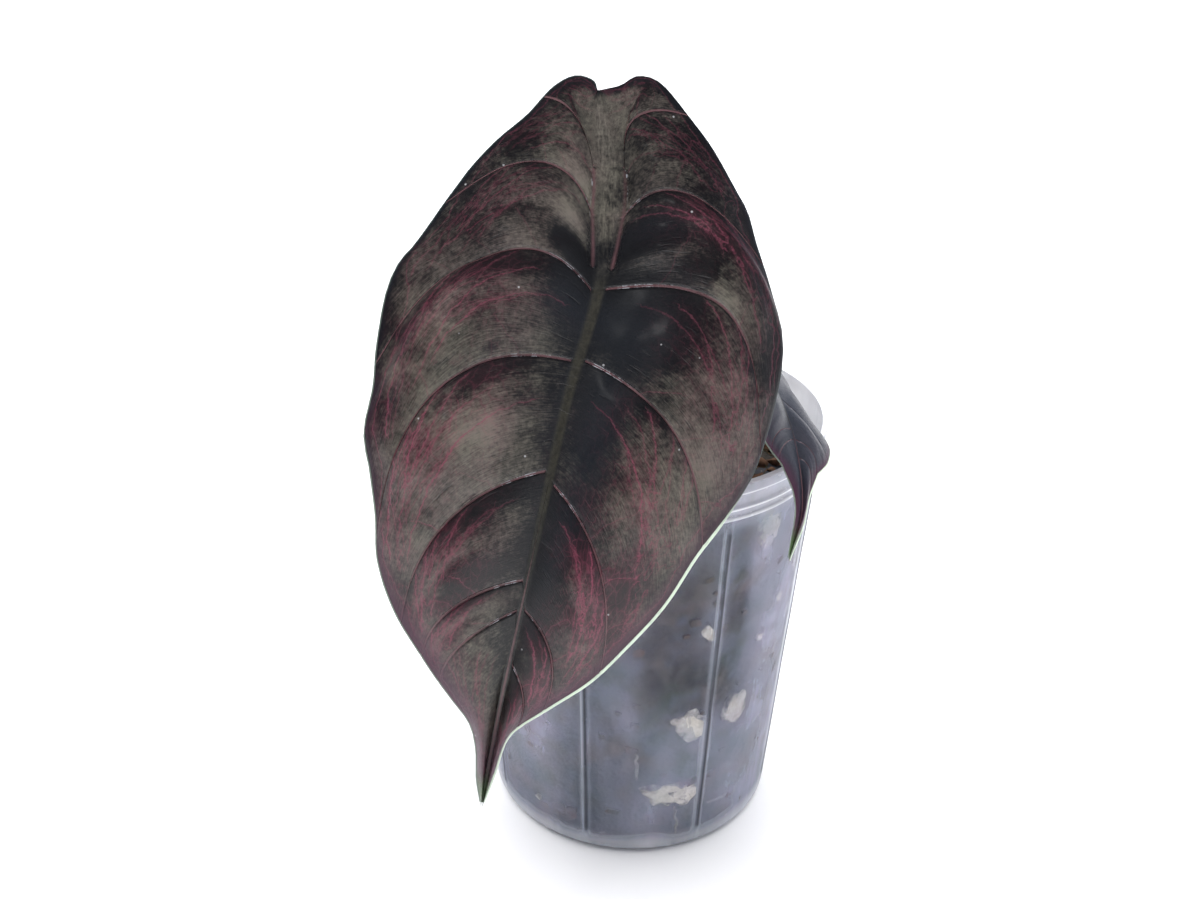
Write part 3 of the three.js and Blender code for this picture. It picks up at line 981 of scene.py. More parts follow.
def spotted(
    blotches: Sequence[Blotch], across: np.ndarray, place: np.ndarray
) -> np.ndarray:
    """Adds up soft spots.

    Args:
        blotches: the spots.
        across: signed places across the blade.
        place: places along it.

    Returns:
        Their sum at each place.
    """
    total = np.zeros_like(across)
    for spot in blotches:
        far = ((across - spot.across) / spot.wide) ** 2 + ((place - spot.place) / spot.tall) ** 2
        total += spot.amount * np.exp(-far)
    return total


@dataclass(frozen=True)
class Pose:
    """Where a blade lies in space, as in the part's source."""

    scale: float
    drip_stretch: float
    droop_left: float
    droop_right: float
    first_point: float
    step: float
    spine: tuple[Point, ...]
    facing: tuple[Point, ...]


FRONT_POSE = Pose(
    scale=1.0,
    drip_stretch=0.0,
    droop_left=1.0,
    droop_right=1.0,
    first_point=-56.0,
    step=28.0,
    spine=(
        (-10, -26, 242), (-11, -42, 219), (-13.5, -57, 195.5), (-20.5, -72, 173), (-26, -86, 149.5),
        (-31.5, -96, 124), (-37, -102.5, 97), (-41.5, -104, 70),
    ),
    facing=((0.02, -0.87, 0.5), (0.04, -0.9, 0.43), (0.06, -0.93, 0.35)),
)  # fmt: skip
SIDE_POSE = Pose(
    scale=0.427,
    drip_stretch=1.1,
    droop_left=-5.6,
    droop_right=-0.4,
    first_point=-52.0,
    step=38.0,
    spine=(
        (15.6, -8.4, 181.6), (25.2, -18.2, 172.9), (33.1, -29.2, 164), (38.6, -41.7, 155.2),
        (41, -55.9, 147.7), (40.8, -70.3, 140.1), (36.3, -84.5, 133.7),
    ),
    facing=((0.75, 0.14, 0.64), (0.38, 0.45, 0.81), (-0.03, -0.44, 0.9)),
)  # fmt: skip


@dataclass
class Blade:
    """A shield-shaped leaf blade with sunken veins above and ribs below."""

    name: str
    node: str
    pose: Pose
    rows_per_cell: int
    columns: int
    spots: bool
    thickness: float = 0.6
    midrib_depth: float = 2.2
    side_rib_depth: float = 0.9
    midrib_half: float = 1.8
    posterior_half: float = 4.0
    notch_half: float = 0.3
    tip_half: float = 0.15
    rise: float = 5.0
    quilt: float = 2.0
    half_width: float = 50.0
    drip_start: float = 108.0
    groove: float = 0.42
    groove_reach: float = 0.42
    band_sink: float = 0.4
    bead: float = 0.46
    lean_left: float = 4.3
    lean_reach: float = 16.0
    lean_down: float = 1.8
    bead_sides: int = 8
    far_off: float = 5.0
    plain_blue_reflection: float = 0.35
    fine_seed: int = 5
    fine_count: int = 6
    fine_cross: int = 3
    fine_from: float = 0.02
    fine_to: float = 0.96
    vein_reach: float = 3.0
    uv_left: float = 60.0
    uv_above: float = 65.0
    uv_span: float = 220.0

    band_columns: ClassVar[int] = 3
    notch_along: ClassVar[float] = MARGIN_LEFT[0][1]
    tip_along: ClassVar[float] = MARGIN_LEFT[-1][1]

    def band_steps(self) -> np.ndarray:
        """Returns how far each column of the midrib's band lies from its left side to its right one."""
        return (np.arange(self.band_columns) + 1) / (self.band_columns + 1)

    def rib_half(self, along: np.ndarray) -> np.ndarray:
        """Works out half the width of the midrib, or of the two ribs that run up to the notch.

        Args:
            along: places along the blade, in millimetres from where the ribs meet.

        Returns:
            Half the width at each place.
        """
        to_notch = np.clip((along - self.notch_along) / 14, 0, 1)
        spread = np.clip(-along / 20, 0, 1)
        wide = self.midrib_half + (self.posterior_half - self.midrib_half) * spread
        above = self.notch_half + (wide - self.notch_half) * to_notch
        share = (np.clip(along, 0, None) / self.tip_along) ** 1.4
        below = self.midrib_half + (self.tip_half - self.midrib_half) * share
        return np.where(along < 0, above, below)

    def half(
        self,
        veins: Sequence[Vein],
        margin: Outline,
        sign: int,
        place: np.ndarray,
        across: np.ndarray,
    ) -> dict:
        """Lays out one half of the flat blade.

        Args:
            veins: its side veins.
            margin: its outline.
            sign: -1 for the left half and 1 for the right one.
            place: places along, one for each row.
            across: places across from the midrib to the margin, one for each column.

        Returns:
            Arrays of rows by columns by name: x and s in the blade's plane, across, place, root, and
            band, which is 0 here.
        """
        cell = np.minimum(np.floor(place).astype(int), SPACES - 1)
        share = place - cell

        def eased(key: str) -> np.ndarray:
            """Returns one number of the veins, between two of them."""
            values = np.array([getattr(vein, key) for vein in veins], float)
            return values[cell] * (1 - share) + values[cell + 1] * share

        root = eased("root")
        end = along_curve(margin, eased("end"))
        start = np.stack([sign * self.rib_half(root), root], -1)
        leave = np.radians(eased("leave"))
        reach = eased("reach") * np.linalg.norm(end - start, axis=1)
        control = start + reach[:, None] * np.stack([sign * np.sin(leave), np.cos(leave)], -1)
        a = across[None, :, None]
        line = (1 - a) ** 2 * start[:, None] + 2 * a * (1 - a) * control[:, None]
        line = line + a * a * end[:, None]
        full = np.ones_like(line[..., 0])
        return {
            "x": line[..., 0],
            "s": line[..., 1],
            "across": sign * full * across,
            "place": full * place[:, None],
            "root": full * root[:, None],
            "band": full * 0,
        }

    def flat(self) -> dict:
        """Lays out the whole flat blade: left margin first, then the midrib's band, then the right half.

        Returns:
            The arrays of both halves and the band, by name; band is 1 between the midrib's sides.
        """
        t = np.arange(self.rows_per_cell) / self.rows_per_cell
        eased = t - 0.13 * np.sin(2 * math.pi * t)
        place = np.concatenate([cell + eased for cell in range(SPACES)] + [[SPACES]])
        t = np.linspace(0, 1, self.columns)
        across = 0.45 * t + 0.55 * t**1.6
        left = self.half(VEINS_LEFT, MARGIN_LEFT, -1, place, across)
        right = self.half(VEINS_RIGHT, MARGIN_RIGHT, 1, place, across)
        steps = self.band_steps()
        middle = {
            key: left[key][:, :1] * (1 - steps) + right[key][:, :1] * steps for key in left
        }
        middle["band"] = np.ones_like(middle["x"])
        return {
            key: np.hstack([left[key][:, ::-1], middle[key], right[key]]) for key in left
        }

    def lean(self, flat: dict) -> None:
        """Bends the notch and the lobes beside it to the left and down a little.

        Args:
            flat: the layout, whose x and s change.
        """
        x, s = flat["x"], flat["s"]
        near = np.exp(-((x / self.lean_reach) ** 2))
        flat["x"] = x - self.lean_left * smooth(-24, -53, s) * near
        flat["s"] = s + self.lean_down * smooth(-38, -56, s)

    def shape(self, flat: dict) -> None:
        """Works out the heights over the flat blade.

        Args:
            flat: the layout, which gets height, depth and what the masks need: real, swell, slope,
                spacing and lateral, the distance from the nearest side vein.
        """
        x, s, place, root = flat["x"], flat["s"], flat["place"], flat["root"]
        signed, band = flat["across"], flat["band"]
        across = np.abs(signed)
        share = place - np.minimum(np.floor(place), SPACES - 1)
        width = np.minimum(1, np.abs(x) / self.half_width + 0.15)
        droop = np.where(x < 0, self.pose.droop_left, self.pose.droop_right)
        ease = 0.025 + 0.11 * smooth(5, -14, root)
        eased = np.sqrt(across**2 + ease**2) - ease
        gull = self.rise * np.sin(math.pi * eased**0.75) - droop * across**2
        swell = np.sin(math.pi * share).clip(0) ** 0.8 * np.sin(math.pi * across**0.8).clip(0)
        gull = gull * (0.25 + 0.75 * width)

        rows = np.stack([np.gradient(x, axis=0), np.gradient(s, axis=0)], -1)
        spacing = np.linalg.norm(rows, axis=-1) / np.gradient(place, axis=0)
        nearest = np.abs(place - np.round(place))
        lateral = nearest * spacing
        real = smooth(0.4, 0.7, place) * smooth(7.7, 7.3, place)
        flat_point = np.stack([x, s, 0 * x], -1)

        strength = (1 - 0.65 * across) * real * (1 - band)
        crease = np.exp(-((lateral / self.groove_reach) ** 2)) * strength
        crease = crease * np.where(root < -3, smooth(0, 0.07, across), 1)
        crease = crease - 0.35 * np.exp(-((lateral / 0.16) ** 2)) * strength
        second = np.exp(-((np.abs(share - 0.5) * spacing / 1.6) ** 2)) * smooth(0.15, 0.45, across)
        second = second * smooth(1.0, 0.8, across) * real * (1 - band)
        swell_scale = 0.75 + 0.5 * rough(flat_point, 34.0, 3.1)
        blister = 0.55 * rough(flat_point, 12.0, 7.7) + 0.10 * rough(flat_point, 4.5, 2.2)
        fade = smooth(0.0, 0.15, across) * smooth(1.0, 0.85, across)
        wave = 0.9 * rough(flat_point, 17.0, 5.5) * smooth(0.6, 1.0, across)
        quilt = self.quilt * np.clip(spacing / 24, 0.15, 1.15) * smooth(0.2, 2.3, place)
        quilt = quilt * np.where(x < 0, 1 - 0.6 * smooth(5.8, 6.6, place), 1)
        gull = gull * smooth(-0.3, 2.3, place)
        wave = wave * smooth(0, 0.8, place)
        height = gull + quilt * swell * swell_scale - 0.3 * second
        height = height + blister * fade + wave
        if self.spots:
            height = height + spotted(DENTS, signed, place)
        run = np.maximum(np.gradient(place, axis=0) * spacing, 0.02)
        slope = np.gradient(height, axis=0) / run
        height = height - self.groove * crease

        rib = self.rib_half(root)
        inside = np.zeros_like(x)
        middle = slice(self.columns, self.columns + self.band_columns)
        inside[:, middle] = 1 - np.abs(2 * self.band_steps() - 1)
        sink = self.band_sink * np.clip(rib / self.midrib_half, 0, 1) * smooth(-26, 4, root)
        sink = sink * smooth(85, 30, root)
        height = height * (1 - band) - sink * smooth(0, 0.5, inside) * band
        taper = np.clip(1 - root / self.tip_along, 0.05, 1)
        taper = taper * np.clip((root - self.notch_along) / 30, 0, 1)
        keel = np.exp(-((x / np.maximum(rib, 0.5)) ** 2)) * taper * self.midrib_depth
        side_rib = np.exp(-((lateral / 1.1) ** 2)) * (1 - across) * real * self.side_rib_depth
        flat["height"] = height
        flat["depth"] = self.thickness + (keel + side_rib) * math.sqrt(self.pose.scale)
        flat.update(real=real, swell=swell, slope=slope, spacing=spacing, lateral=lateral)

    def mask(self, flat: dict) -> None:
        """Works out the finish's masks over the flat blade.

        Args:
            flat: the shaped layout, which gets the masks.
        """
        x, s, place, root = flat["x"], flat["s"], flat["place"], flat["root"]
        signed, band, real = flat["across"], flat["band"], flat["real"]
        across = np.abs(signed)
        to_left = np.hypot(x - x[:, :1], s - s[:, :1])
        to_right = np.hypot(x - x[:, -1:], s - s[:, -1:])
        edge_distance = np.minimum(to_left, to_right)
        near_edge = smooth(3.5, 0.3, edge_distance)

        # The side veins, the two ribs above the place where they meet, and the midrib near the tip.
        side = flat["lateral"] + self.far_off * (1 - real * (1 - band))
        plain_x, plain_s = np.abs(flat["plain_x"]), flat["plain_s"]
        above = smooth(-35, -31, plain_s) * smooth(1, -6, plain_s)
        ridge = 0.3 * np.abs(plain_x - self.rib_half(plain_s)) + 0.2 + self.far_off * (1 - above)
        middle = plain_x / np.maximum(smooth(40, 95, root), 0.02) + self.far_off * smooth(52, 45, root)
        flat["lateral"] = np.clip(np.minimum(np.minimum(side, ridge), middle), 0, self.far_off)
        self.fine_veins(flat)

        # Taupe bloom with painted sheen: lighter where the blade tilts down, on the swells between the
        # side veins and in the upper part.
        bloom_and_sheen = 0.45 - 1.6 * np.clip(flat["slope"], -0.35, 0.35) + 0.25 * flat["swell"]
        bloom_and_sheen = bloom_and_sheen + 0.1 * smooth(1.5, 5.5, place)
        bloom_and_sheen -= 0.16 * smooth(5.0, 6.0, place)
        bloom_and_sheen += 0.35 * smooth(2.8, 1.6, place) * smooth(0.95, 0.5, across)
        shown = 0.85 * smooth(1, -4, root) + 0.5 * smooth(60, 95, root)
        flat["bloom_and_sheen"] = bloom_and_sheen * (1 - band) + band * shown
        flat["band"] = band * smooth(0, -8, root)
        # Painted shadow in a band just below each side vein.
        off = (place - np.round(place)) * flat["spacing"]
        under = np.exp(-(((off - 0.62) / 0.34) ** 2))
        flat["under"] = under * real * (1 - band) * (1 - 0.5 * across)
        flush = smooth(0.05, 0.5, across) * (0.06 + 0.5 * smooth(2.0, 5.0, place))
        if self.spots:
            flat["shade"] = np.clip(spotted(SHADES, signed, place), -0.6, 1.2)
            flat["blue_reflection"] = np.clip(spotted(BLUE_REFLECTIONS, signed, place), 0, 1)
            flush = flush + spotted(FLUSHES, signed, place)
        else:
            flat["shade"] = np.zeros_like(x)
            # The plain blade gets painted blue-black reflection all over.
            flat["blue_reflection"] = np.full_like(x, self.plain_blue_reflection)
        # Painted shade and painted blue-black reflection along the margins.
        flat["shade"] += 0.8 * near_edge * smooth(7.4, 6.4, place)
        flat["blue_reflection"] += 0.5 * near_edge * smooth(6, 4, place)
        flat["flush"] = np.clip(flush, 0, 1) * (1 - band)
        flat["edge"] = smooth(9.0, 0.5, edge_distance) * smooth(2.5, 5.5, place)
        flat["rib"] = band * smooth(95, 55, root) * smooth(-5, 0.5, root)
        flat["tip"] = smooth(self.tip_along - 13, self.tip_along - 4, s)

    def fine_lines(self, chance: random.Random, cell: int) -> tuple[list, list]:
        """Lays out the fine veins between two side veins.

        Args:
            chance: source of numbers.
            cell: number of the upper side vein.

        Returns:
            The main veins in order from the midrib, and their twigs: each a line of place and across,
            from 0 at the midrib to 1 at the margin, with its strength.
        """
        t = np.linspace(0, 1, 16)
        mains, twigs = [], []
        for step in range(self.fine_count):
            start = 0.05 + 0.75 * (step + chance.uniform(0.25, 0.75)) / self.fine_count
            foot = 0.9 * max(0, 0.42 - start) * chance.uniform(0.5, 1.4)
            depth = chance.uniform(0.5, 0.9) * (0.95 - foot)
            reach = chance.uniform(0.5, 0.75) * (1.0 - start)
            sway = np.cumsum([chance.uniform(-1, 1) for _ in t]) * 0.008
            place = cell + foot + depth * t**1.25 + 2 * sway * t
            across = np.clip(start + reach * t**0.9 + sway, self.fine_from, self.fine_to)
            mains.append((np.stack([place, across], -1), chance.uniform(0.35, 1.0)))
            for side in (1, -1, 1)[: chance.randint(1, 3)]:
                fork = chance.randint(2, 9)
                run = (1 - t[fork]) * chance.uniform(0.4, 0.7)
                ahead = place[fork] + run * depth * t * (0.8 - 0.3 * side)
                out = across[fork] + (run * reach + 0.08 * side) * t + 0.01 * np.sin(9 * t + side)
                line = np.stack([ahead, np.clip(out, self.fine_from, self.fine_to)], -1)
                twigs.append((line, chance.uniform(0.3, 0.8)))
        for step in range(self.fine_cross):
            start = 0.1 + 0.8 * (step + chance.uniform(0.2, 0.8)) / self.fine_cross
            ahead = cell + 1 - chance.uniform(0.25, 0.4) * t**0.8
            line = np.stack([ahead, np.clip(start + 0.15 * t, 0, self.fine_to)], -1)
            twigs.append((line, chance.uniform(0.3, 0.6)))
        twigs.append((np.stack([cell + t, 0.93 - 0.02 * np.sin(9 * t)], -1), 0.8))
        return mains, twigs

    def fine_veins(self, flat: dict) -> None:
        """Measures how far each point lies from the nearest fine vein and the nearest twig.

        The distances are in millimetres and change sign from one side of a line to the other, in turns,
        so that they pass through zero only on a line.

        Args:
            flat: the layout, which gets "vein", "vigour", "twig" and "twig_vigour".
        """
        chance = random.Random(self.fine_seed)
        names = ("vein", "twig")
        for name in names:
            flat[name] = np.full_like(flat["x"], self.vein_reach)
        strengths = {name: np.zeros_like(flat["x"]) for name in names}
        place = flat["place"][:, 0]
        for columns in (slice(self.columns - 1, None, -1), slice(-self.columns, None)):
            spot = np.stack([flat["x"][:, columns], flat["s"][:, columns]], -1)
            across = np.abs(flat["across"][0, columns])
            for cell in range(SPACES):
                first = cell * self.rows_per_cell
                rows = slice(max(0, first - 3), first + self.rows_per_cell + 4)
                for name, lines in zip(names, self.fine_lines(chance, cell)):
                    near, best = flat[name][rows, columns], strengths[name][rows, columns]
                    for order, (line, vigour) in enumerate(lines):
                        path = self.between(
                            spot,
                            np.interp(line[:, 0], place, range(len(place))),
                            np.interp(line[:, 1], across, range(len(across))),
                        )
                        far = self.distances(spot[rows], path) * (1 if order % 2 else -1)
                        closer = np.abs(far) < np.abs(near)
                        near[:] = np.where(closer, far, near)
                        best[:] = np.where(closer, vigour, best)
        for name, key in zip(names, ("vigour", "twig_vigour")):
            flat[name] = np.clip(flat[name], -self.vein_reach, self.vein_reach)
            flat[key] = strengths[name] * smooth(2.6, 1.8, np.abs(flat[name]))

    @staticmethod
    def between(grid: np.ndarray, rows: np.ndarray, columns: np.ndarray) -> np.ndarray:
        """Reads a grid of points between its rows and columns.

        Args:
            grid: the points, rows by columns.
            rows: places counted in rows.
            columns: places counted in columns.

        Returns:
            One point for each place.
        """
        row = np.clip(rows.astype(int), 0, grid.shape[0] - 2)
        column = np.clip(columns.astype(int), 0, grid.shape[1] - 2)
        down, right = (rows - row)[:, None], (columns - column)[:, None]
        above = grid[row, column] * (1 - right) + grid[row, column + 1] * right
        below = grid[row + 1, column] * (1 - right) + grid[row + 1, column + 1] * right
        return above * (1 - down) + below * down

    @staticmethod
    def distances(spots: np.ndarray, path: np.ndarray) -> np.ndarray:
        """Measures how far each spot lies from a line.

        Args:
            spots: the spots, rows by columns.
            path: points of the line.

        Returns:
            The distances, below zero on the line's right.
        """
        best = np.full(spots.shape[:-1], np.inf)
        for start, end in zip(path, path[1:]):
            run = end - start
            away = spots - start
            share = np.clip((away @ run) / (run @ run + 1e-9), 0, 1)
            gap = away - share[..., None] * run
            far = np.hypot(gap[..., 0], gap[..., 1])
            far = np.where(run[0] * away[..., 1] - run[1] * away[..., 0] < 0, -far, far)
            best = np.where(np.abs(far) < np.abs(best), far, best)
        return best

    def faces(self, flat: dict) -> tuple[np.ndarray, np.ndarray]:
        """Places the blade in space.

        Args:
            flat: the shaped layout.

        Returns:
            The upper and the lower points, rows by columns by three.
        """
        pose = self.pose
        along = flat["s"] + pose.drip_stretch * np.clip(flat["s"] - self.drip_start, 0, None)
        shape, along = along.shape, along.ravel()
        count = len(pose.spine) - 1
        span = count * pose.step
        share = (along - pose.first_point) / span
        held = np.clip(share, 0, 1)
        nudge = 1e-4
        ahead = along_curve(pose.spine, np.clip(held + nudge, 0, 1) * count)
        behind = along_curve(pose.spine, np.clip(held - nudge, 0, 1) * count)
        tangent = unit(ahead - behind)
        middle = along_curve(pose.spine, held * count)
        middle = middle + tangent * ((share - held) * span * pose.scale)[:, None]
        facing = along_curve(pose.facing, held * (len(pose.facing) - 1))
        side = unit(np.cross(facing, tangent))
        normal = np.cross(tangent, side)
        upper = middle + side * (flat["x"].ravel() * pose.scale)[:, None]
        upper = upper + normal * (flat["height"].ravel() * pose.scale)[:, None]
        lower = upper - normal * flat["depth"].ravel()[:, None]
        return upper.reshape(*shape, 3), lower.reshape(*shape, 3)

    def build(self, upper_look: Look, lower_look: Look, edge_look: Look) -> None:
        """Builds the blade and its margin bead.

        Args:
            upper_look: material of the upper face.
            lower_look: material of the underside.
            edge_look: material of the margin.
        """
        flat = self.flat()
        flat["plain_x"], flat["plain_s"] = flat["x"].copy(), flat["s"].copy()
        if self.spots:
            self.lean(flat)
        self.shape(flat)
        self.mask(flat)
        upper, lower = self.faces(flat)
        rows, columns = upper.shape[:2]
        mesh = bmesh.new()
        bmesh.ops.create_grid(mesh, x_segments=columns - 1, y_segments=rows - 1, size=1)
        cell = mesh.verts.layers.int.new("cell")
        for vert in mesh.verts:
            column = round((vert.co.x + 1) / 2 * (columns - 1))
            row = round((1 - vert.co.y) / 2 * (rows - 1))
            vert[cell] = row * columns + column
            vert.co = upper[row, column]
        top = mesh.faces[:]
        copied = bmesh.ops.duplicate(mesh, geom=mesh.verts[:] + mesh.edges[:] + top)["geom"]
        below = [item for item in copied if isinstance(item, bmesh.types.BMFace)]
        for vert in {vert for face in below for vert in face.verts}:
            vert.co = lower[divmod(vert[cell], columns)]
        for face in below:
            face.material_index = 1
        bmesh.ops.reverse_faces(mesh, faces=below)
        rims = [edge for edge in mesh.edges if edge.is_boundary]
        joined = bmesh.ops.bridge_loops(mesh, edges=rims)["faces"]
        for face in joined:
            face.material_index = 1
        bmesh.ops.recalc_face_normals(mesh, faces=mesh.faces[:])
        piece = finish_piece(
            mesh, self.name, [upper_look, lower_look], [self.node], sharp=75
        )
        self.paint(piece.data, flat)
        self.margin(flat, upper, lower, edge_look)

    def paint(self, data: bpy.types.Mesh, flat: dict) -> None:
        """Gives the mesh its UV map and its masks.

        Args:
            data: the blade's mesh.
            flat: the shaped layout.
        """
        cells = np.zeros(len(data.vertices), np.int32)
        data.attributes["cell"].data.foreach_get("value", cells)
        masks = {"place": flat["place"] / SPACES, "across": flat["across"]}
        names = (
            "lateral", "under", "band", "vein", "vigour", "twig", "twig_vigour", "bloom_and_sheen", "shade",
            "blue_reflection", "flush", "edge", "rib", "tip",
        )  # fmt: skip
        masks.update({name: flat[name] for name in names})
        for name, values in masks.items():
            layer = data.attributes.new(name, "FLOAT", "POINT")
            layer.data.foreach_set("value", values.ravel()[cells].astype(np.float32))
        data.attributes.remove(data.attributes["cell"])
        corners = np.zeros(len(data.loops), np.int32)
        data.loops.foreach_get("vertex_index", corners)
        u = (flat["x"].ravel()[cells] + self.uv_left) / self.uv_span
        v = (flat["s"].ravel()[cells] + self.uv_above) / self.uv_span
        uv = np.stack([u, v], -1)[corners].astype(np.float32)
        data.uv_layers.new(name="blade").data.foreach_set("uv", uv.ravel())

    def margin(self, flat: dict, upper: np.ndarray, lower: np.ndarray, look: Look) -> None:
        """Adds the bead that runs round the blade's edge.

        Args:
            flat: the shaped layout.
            upper: points of the upper face.
            lower: points of the underside.
            look: its material.
        """
        mesh = bmesh.new()
        mesh.verts.layers.float.new("pale")
        size = self.bead * math.sqrt(self.pose.scale)
        for column, side in ((0, -1), (-1, 1)):
            path = (upper[:, column] + lower[:, column]) / 2
            place = flat["place"][:, column]
            if side > 0:
                shown = smooth(3.3, 3.9, place)
                width = size * (0.45 + 0.75 * shown - 0.5 * smooth(7.6, 8.0, place))
            else:
                shown = 0.25 * smooth(2.0, 4.0, place)
                width = size * (0.75 + 0.2 * shown)
            kept = slice(None, None, 2)
            before = len(mesh.verts)
            swept(mesh, path[kept], width[kept], self.bead_sides)
            mesh.verts.ensure_lookup_table()
            layer = mesh.verts.layers.float["along"]
            pale = mesh.verts.layers.float["pale"]
            count = len(path[kept]) - 1
            for vert in mesh.verts[before:]:
                vert[pale] = shown[kept][round(vert[layer] * count)]
        finish_piece(mesh, self.name + "_edge", [look])


# Pot


@dataclass
class Pot:
    """A clear nursery pot: a tapering wall with upright ribs, a banded rim and a pierced base."""

    height: float = 137.0
    base_radius: float = 46.0
    wall_top_radius: float = 55.0
    rim_radius: float = 57.0
    wall: float = 0.9
    floor: float = 1.4
    base_round: float = 4.0
    band_height: float = 12.5
    ribs: int = 8
    first_rib: float = 27.0
    rib_half: float = 0.75
    rib_proud: float = 0.5
    valley_at: float = 2.2
    valley_half: float = 0.9
    valley_deep: float = 0.18
    rib_shadow_half: float = 0.72
    rib_highlights: tuple[tuple[float, float, float], ...] = ((-1.35, 0.45, 1.0), (1.1, 0.35, 0.45))
    warp: float = 0.22
    line_crease: float = 0.95
    band_crease: float = 0.22
    inner_crease: float = 0.12
    foot_light: float = 0.65
    foot_top: float = 4.2
    foot_inside: float = 40.0
    drain_holes: int = 8
    drain_radius: float = 3.0
    drain_circle: float = 30.0
    drain_sides: int = 24
    steps: int = 256
    wall_rows: int = 26
    rim_rings: tuple[tuple[float, float], ...] = (
        (12.5, 2.0), (12.2, 1.5), (11.8, 1.2), (11.3, 1.25), (10.9, 1.6), (10.4, 1.7), (9.3, 1.5),
        (8.9, 1.0), (8.4, 0.8), (8.0, 0.85), (7.5, 1.25), (6.9, 1.35), (4.3, 1.05), (3.8, 0.7),
        (3.4, 0.1), (2.9, 0.0), (0.7, 0.0), (0.2, 0.15), (0.0, 0.5),
    )  # fmt: skip
    rim_lines: tuple[tuple[float, float], ...] = ((-0.1, 0.3), (3.3, 3.9), (8.3, 9.0), (11.2, 12.3))
    damp: tuple[tuple[float, float, float, float], ...] = (
        (-56.5, 92.0, 4.5, 24.0),
        (-78.0, 99.0, 13.0, 18.0),
        (-82.0, 76.0, 10.0, 14.0),
        (-66.0, 64.0, 16.0, 12.0),
    )

    def dampness(self, angle: float, height: float) -> float:
        """Works out how clear the plastic is where the mix wets it.

        Args:
            angle: direction from the axis, in degrees.
            height: height on the wall.

        Returns:
            A number from 0, dry, to 1.
        """
        total = 0.0
        for middle, level, wide, tall in self.damp:
            off = (angle - middle + 180) % 360 - 180
            total += math.exp(-((off / wide) ** 2) - ((height - level) / tall) ** 2)
        return min(0.85, total)

    def wall_radius(self, height: float) -> float:
        """Radius of the wall's outside at a height."""
        share = min(max(height / (self.height - self.band_height), 0), 1)
        return self.base_radius + (self.wall_top_radius - self.base_radius) * share

    def profile(self) -> list[tuple[float, float]]:
        """Returns the section from the axis, round the outside and back along the inside."""
        points = [(0.0, 0.6), (18.0, 0.6), (self.base_radius - 9, 0.5), (self.base_radius - 7.5, 0.0)]
        centre = self.wall_radius(self.base_round) - self.base_round
        for i in range(7):
            turn = i / 6 * math.pi / 2
            drop = self.base_round * (1 - math.cos(turn))
            points.append((centre + self.base_round * math.sin(turn), drop))
        top = self.height - self.band_height
        for i in range(1, self.wall_rows):
            height = self.base_round + (top - self.base_round) * i / self.wall_rows
            points.append((self.wall_radius(height), height))
        points += [(self.rim_radius - inset, self.height - drop) for drop, inset in self.rim_rings]
        inner = self.rim_radius - 1.6
        points += [(inner, self.height), (inner - 0.5, top + 1)]
        points.append((self.wall_top_radius - self.wall, top - 0.5))
        for i in range(self.wall_rows - 1, 0, -1):
            height = self.base_round + (top - self.base_round) * i / self.wall_rows
            points.append((self.wall_radius(height) - self.wall, height))
        points += [(self.wall_radius(4) - self.wall, 4.0), (self.base_radius - 2.8, self.floor)]
        points += [(18.0, self.floor), (0.0, self.floor)]
        return points

    def build(self, look: Look) -> None:
        """Builds the pot.

        Args:
            look: its material.
        """
        mesh = turned(self.profile(), self.steps)
        crease = mesh.verts.layers.float.new("crease")
        rib_shadow = mesh.verts.layers.float.new("rib_shadow")
        rib_highlight = mesh.verts.layers.float.new("rib_highlight")
        wet = mesh.verts.layers.float.new("wet")
        period = 2 * math.pi / self.ribs
        first = math.radians(self.first_rib - 90)
        top = self.height - self.band_height
        for vert in mesh.verts:
            radius = math.hypot(vert.co.x, vert.co.y)
            if radius < 1:
                continue
            turn = (math.atan2(vert.co.y, vert.co.x) - 1e-6) / period
            t = turn - round(turn)
            t = 2 * t * abs(t)
            angle = (round(turn) + t) * period + first
            off = abs(t) * period * radius
            height = vert.co.z
            outer = radius > self.wall_radius(height) - 0.5 * self.wall
            on_wall = self.base_round < height < top - 0.5
            ridge = math.exp(-((off / self.rib_half) ** 2))
            valley = math.exp(-(((off - self.valley_at) / self.valley_half) ** 2))
            ends = min(1, max(0, (height - self.base_round) / 2), max(0, (top - height) / 3))
            if on_wall:
                radius += (self.rib_proud * ridge - self.valley_deep * valley) * ends
                spot = Vector((math.cos(angle), math.sin(angle), height / 45)) * 1.6
                radius += self.warp * noise.noise(spot) * ends - 0.1
                vert[wet] = self.dampness(math.degrees(angle), height)
                # Masks for the plastic's painted shadow along each rib and painted highlights beside it.
                side = t * period * radius
                vert[rib_shadow] = math.exp(-((abs(side) / self.rib_shadow_half) ** 4)) * ends
                for middle, half, weight in self.rib_highlights:
                    vert[rib_highlight] += weight * math.exp(-(((side - middle) / half) ** 2)) * ends
            elif height >= top - 0.5:
                drop = self.height - height
                lined = any(low <= drop <= high for low, high in self.rim_lines)
                band = self.line_crease if lined else self.band_crease
                vert[crease] = band if outer else self.inner_crease
            # The foot's rounding gets painted light, a pale ring.
            elif height < self.foot_top and radius > self.foot_inside:
                vert[crease] = self.foot_light
            vert.co.x, vert.co.y = radius * math.cos(angle), radius * math.sin(angle)
        piece = finish_piece(mesh, "pot_shell", [look], ["pot"], sharp=50)
        self.pierce(piece)

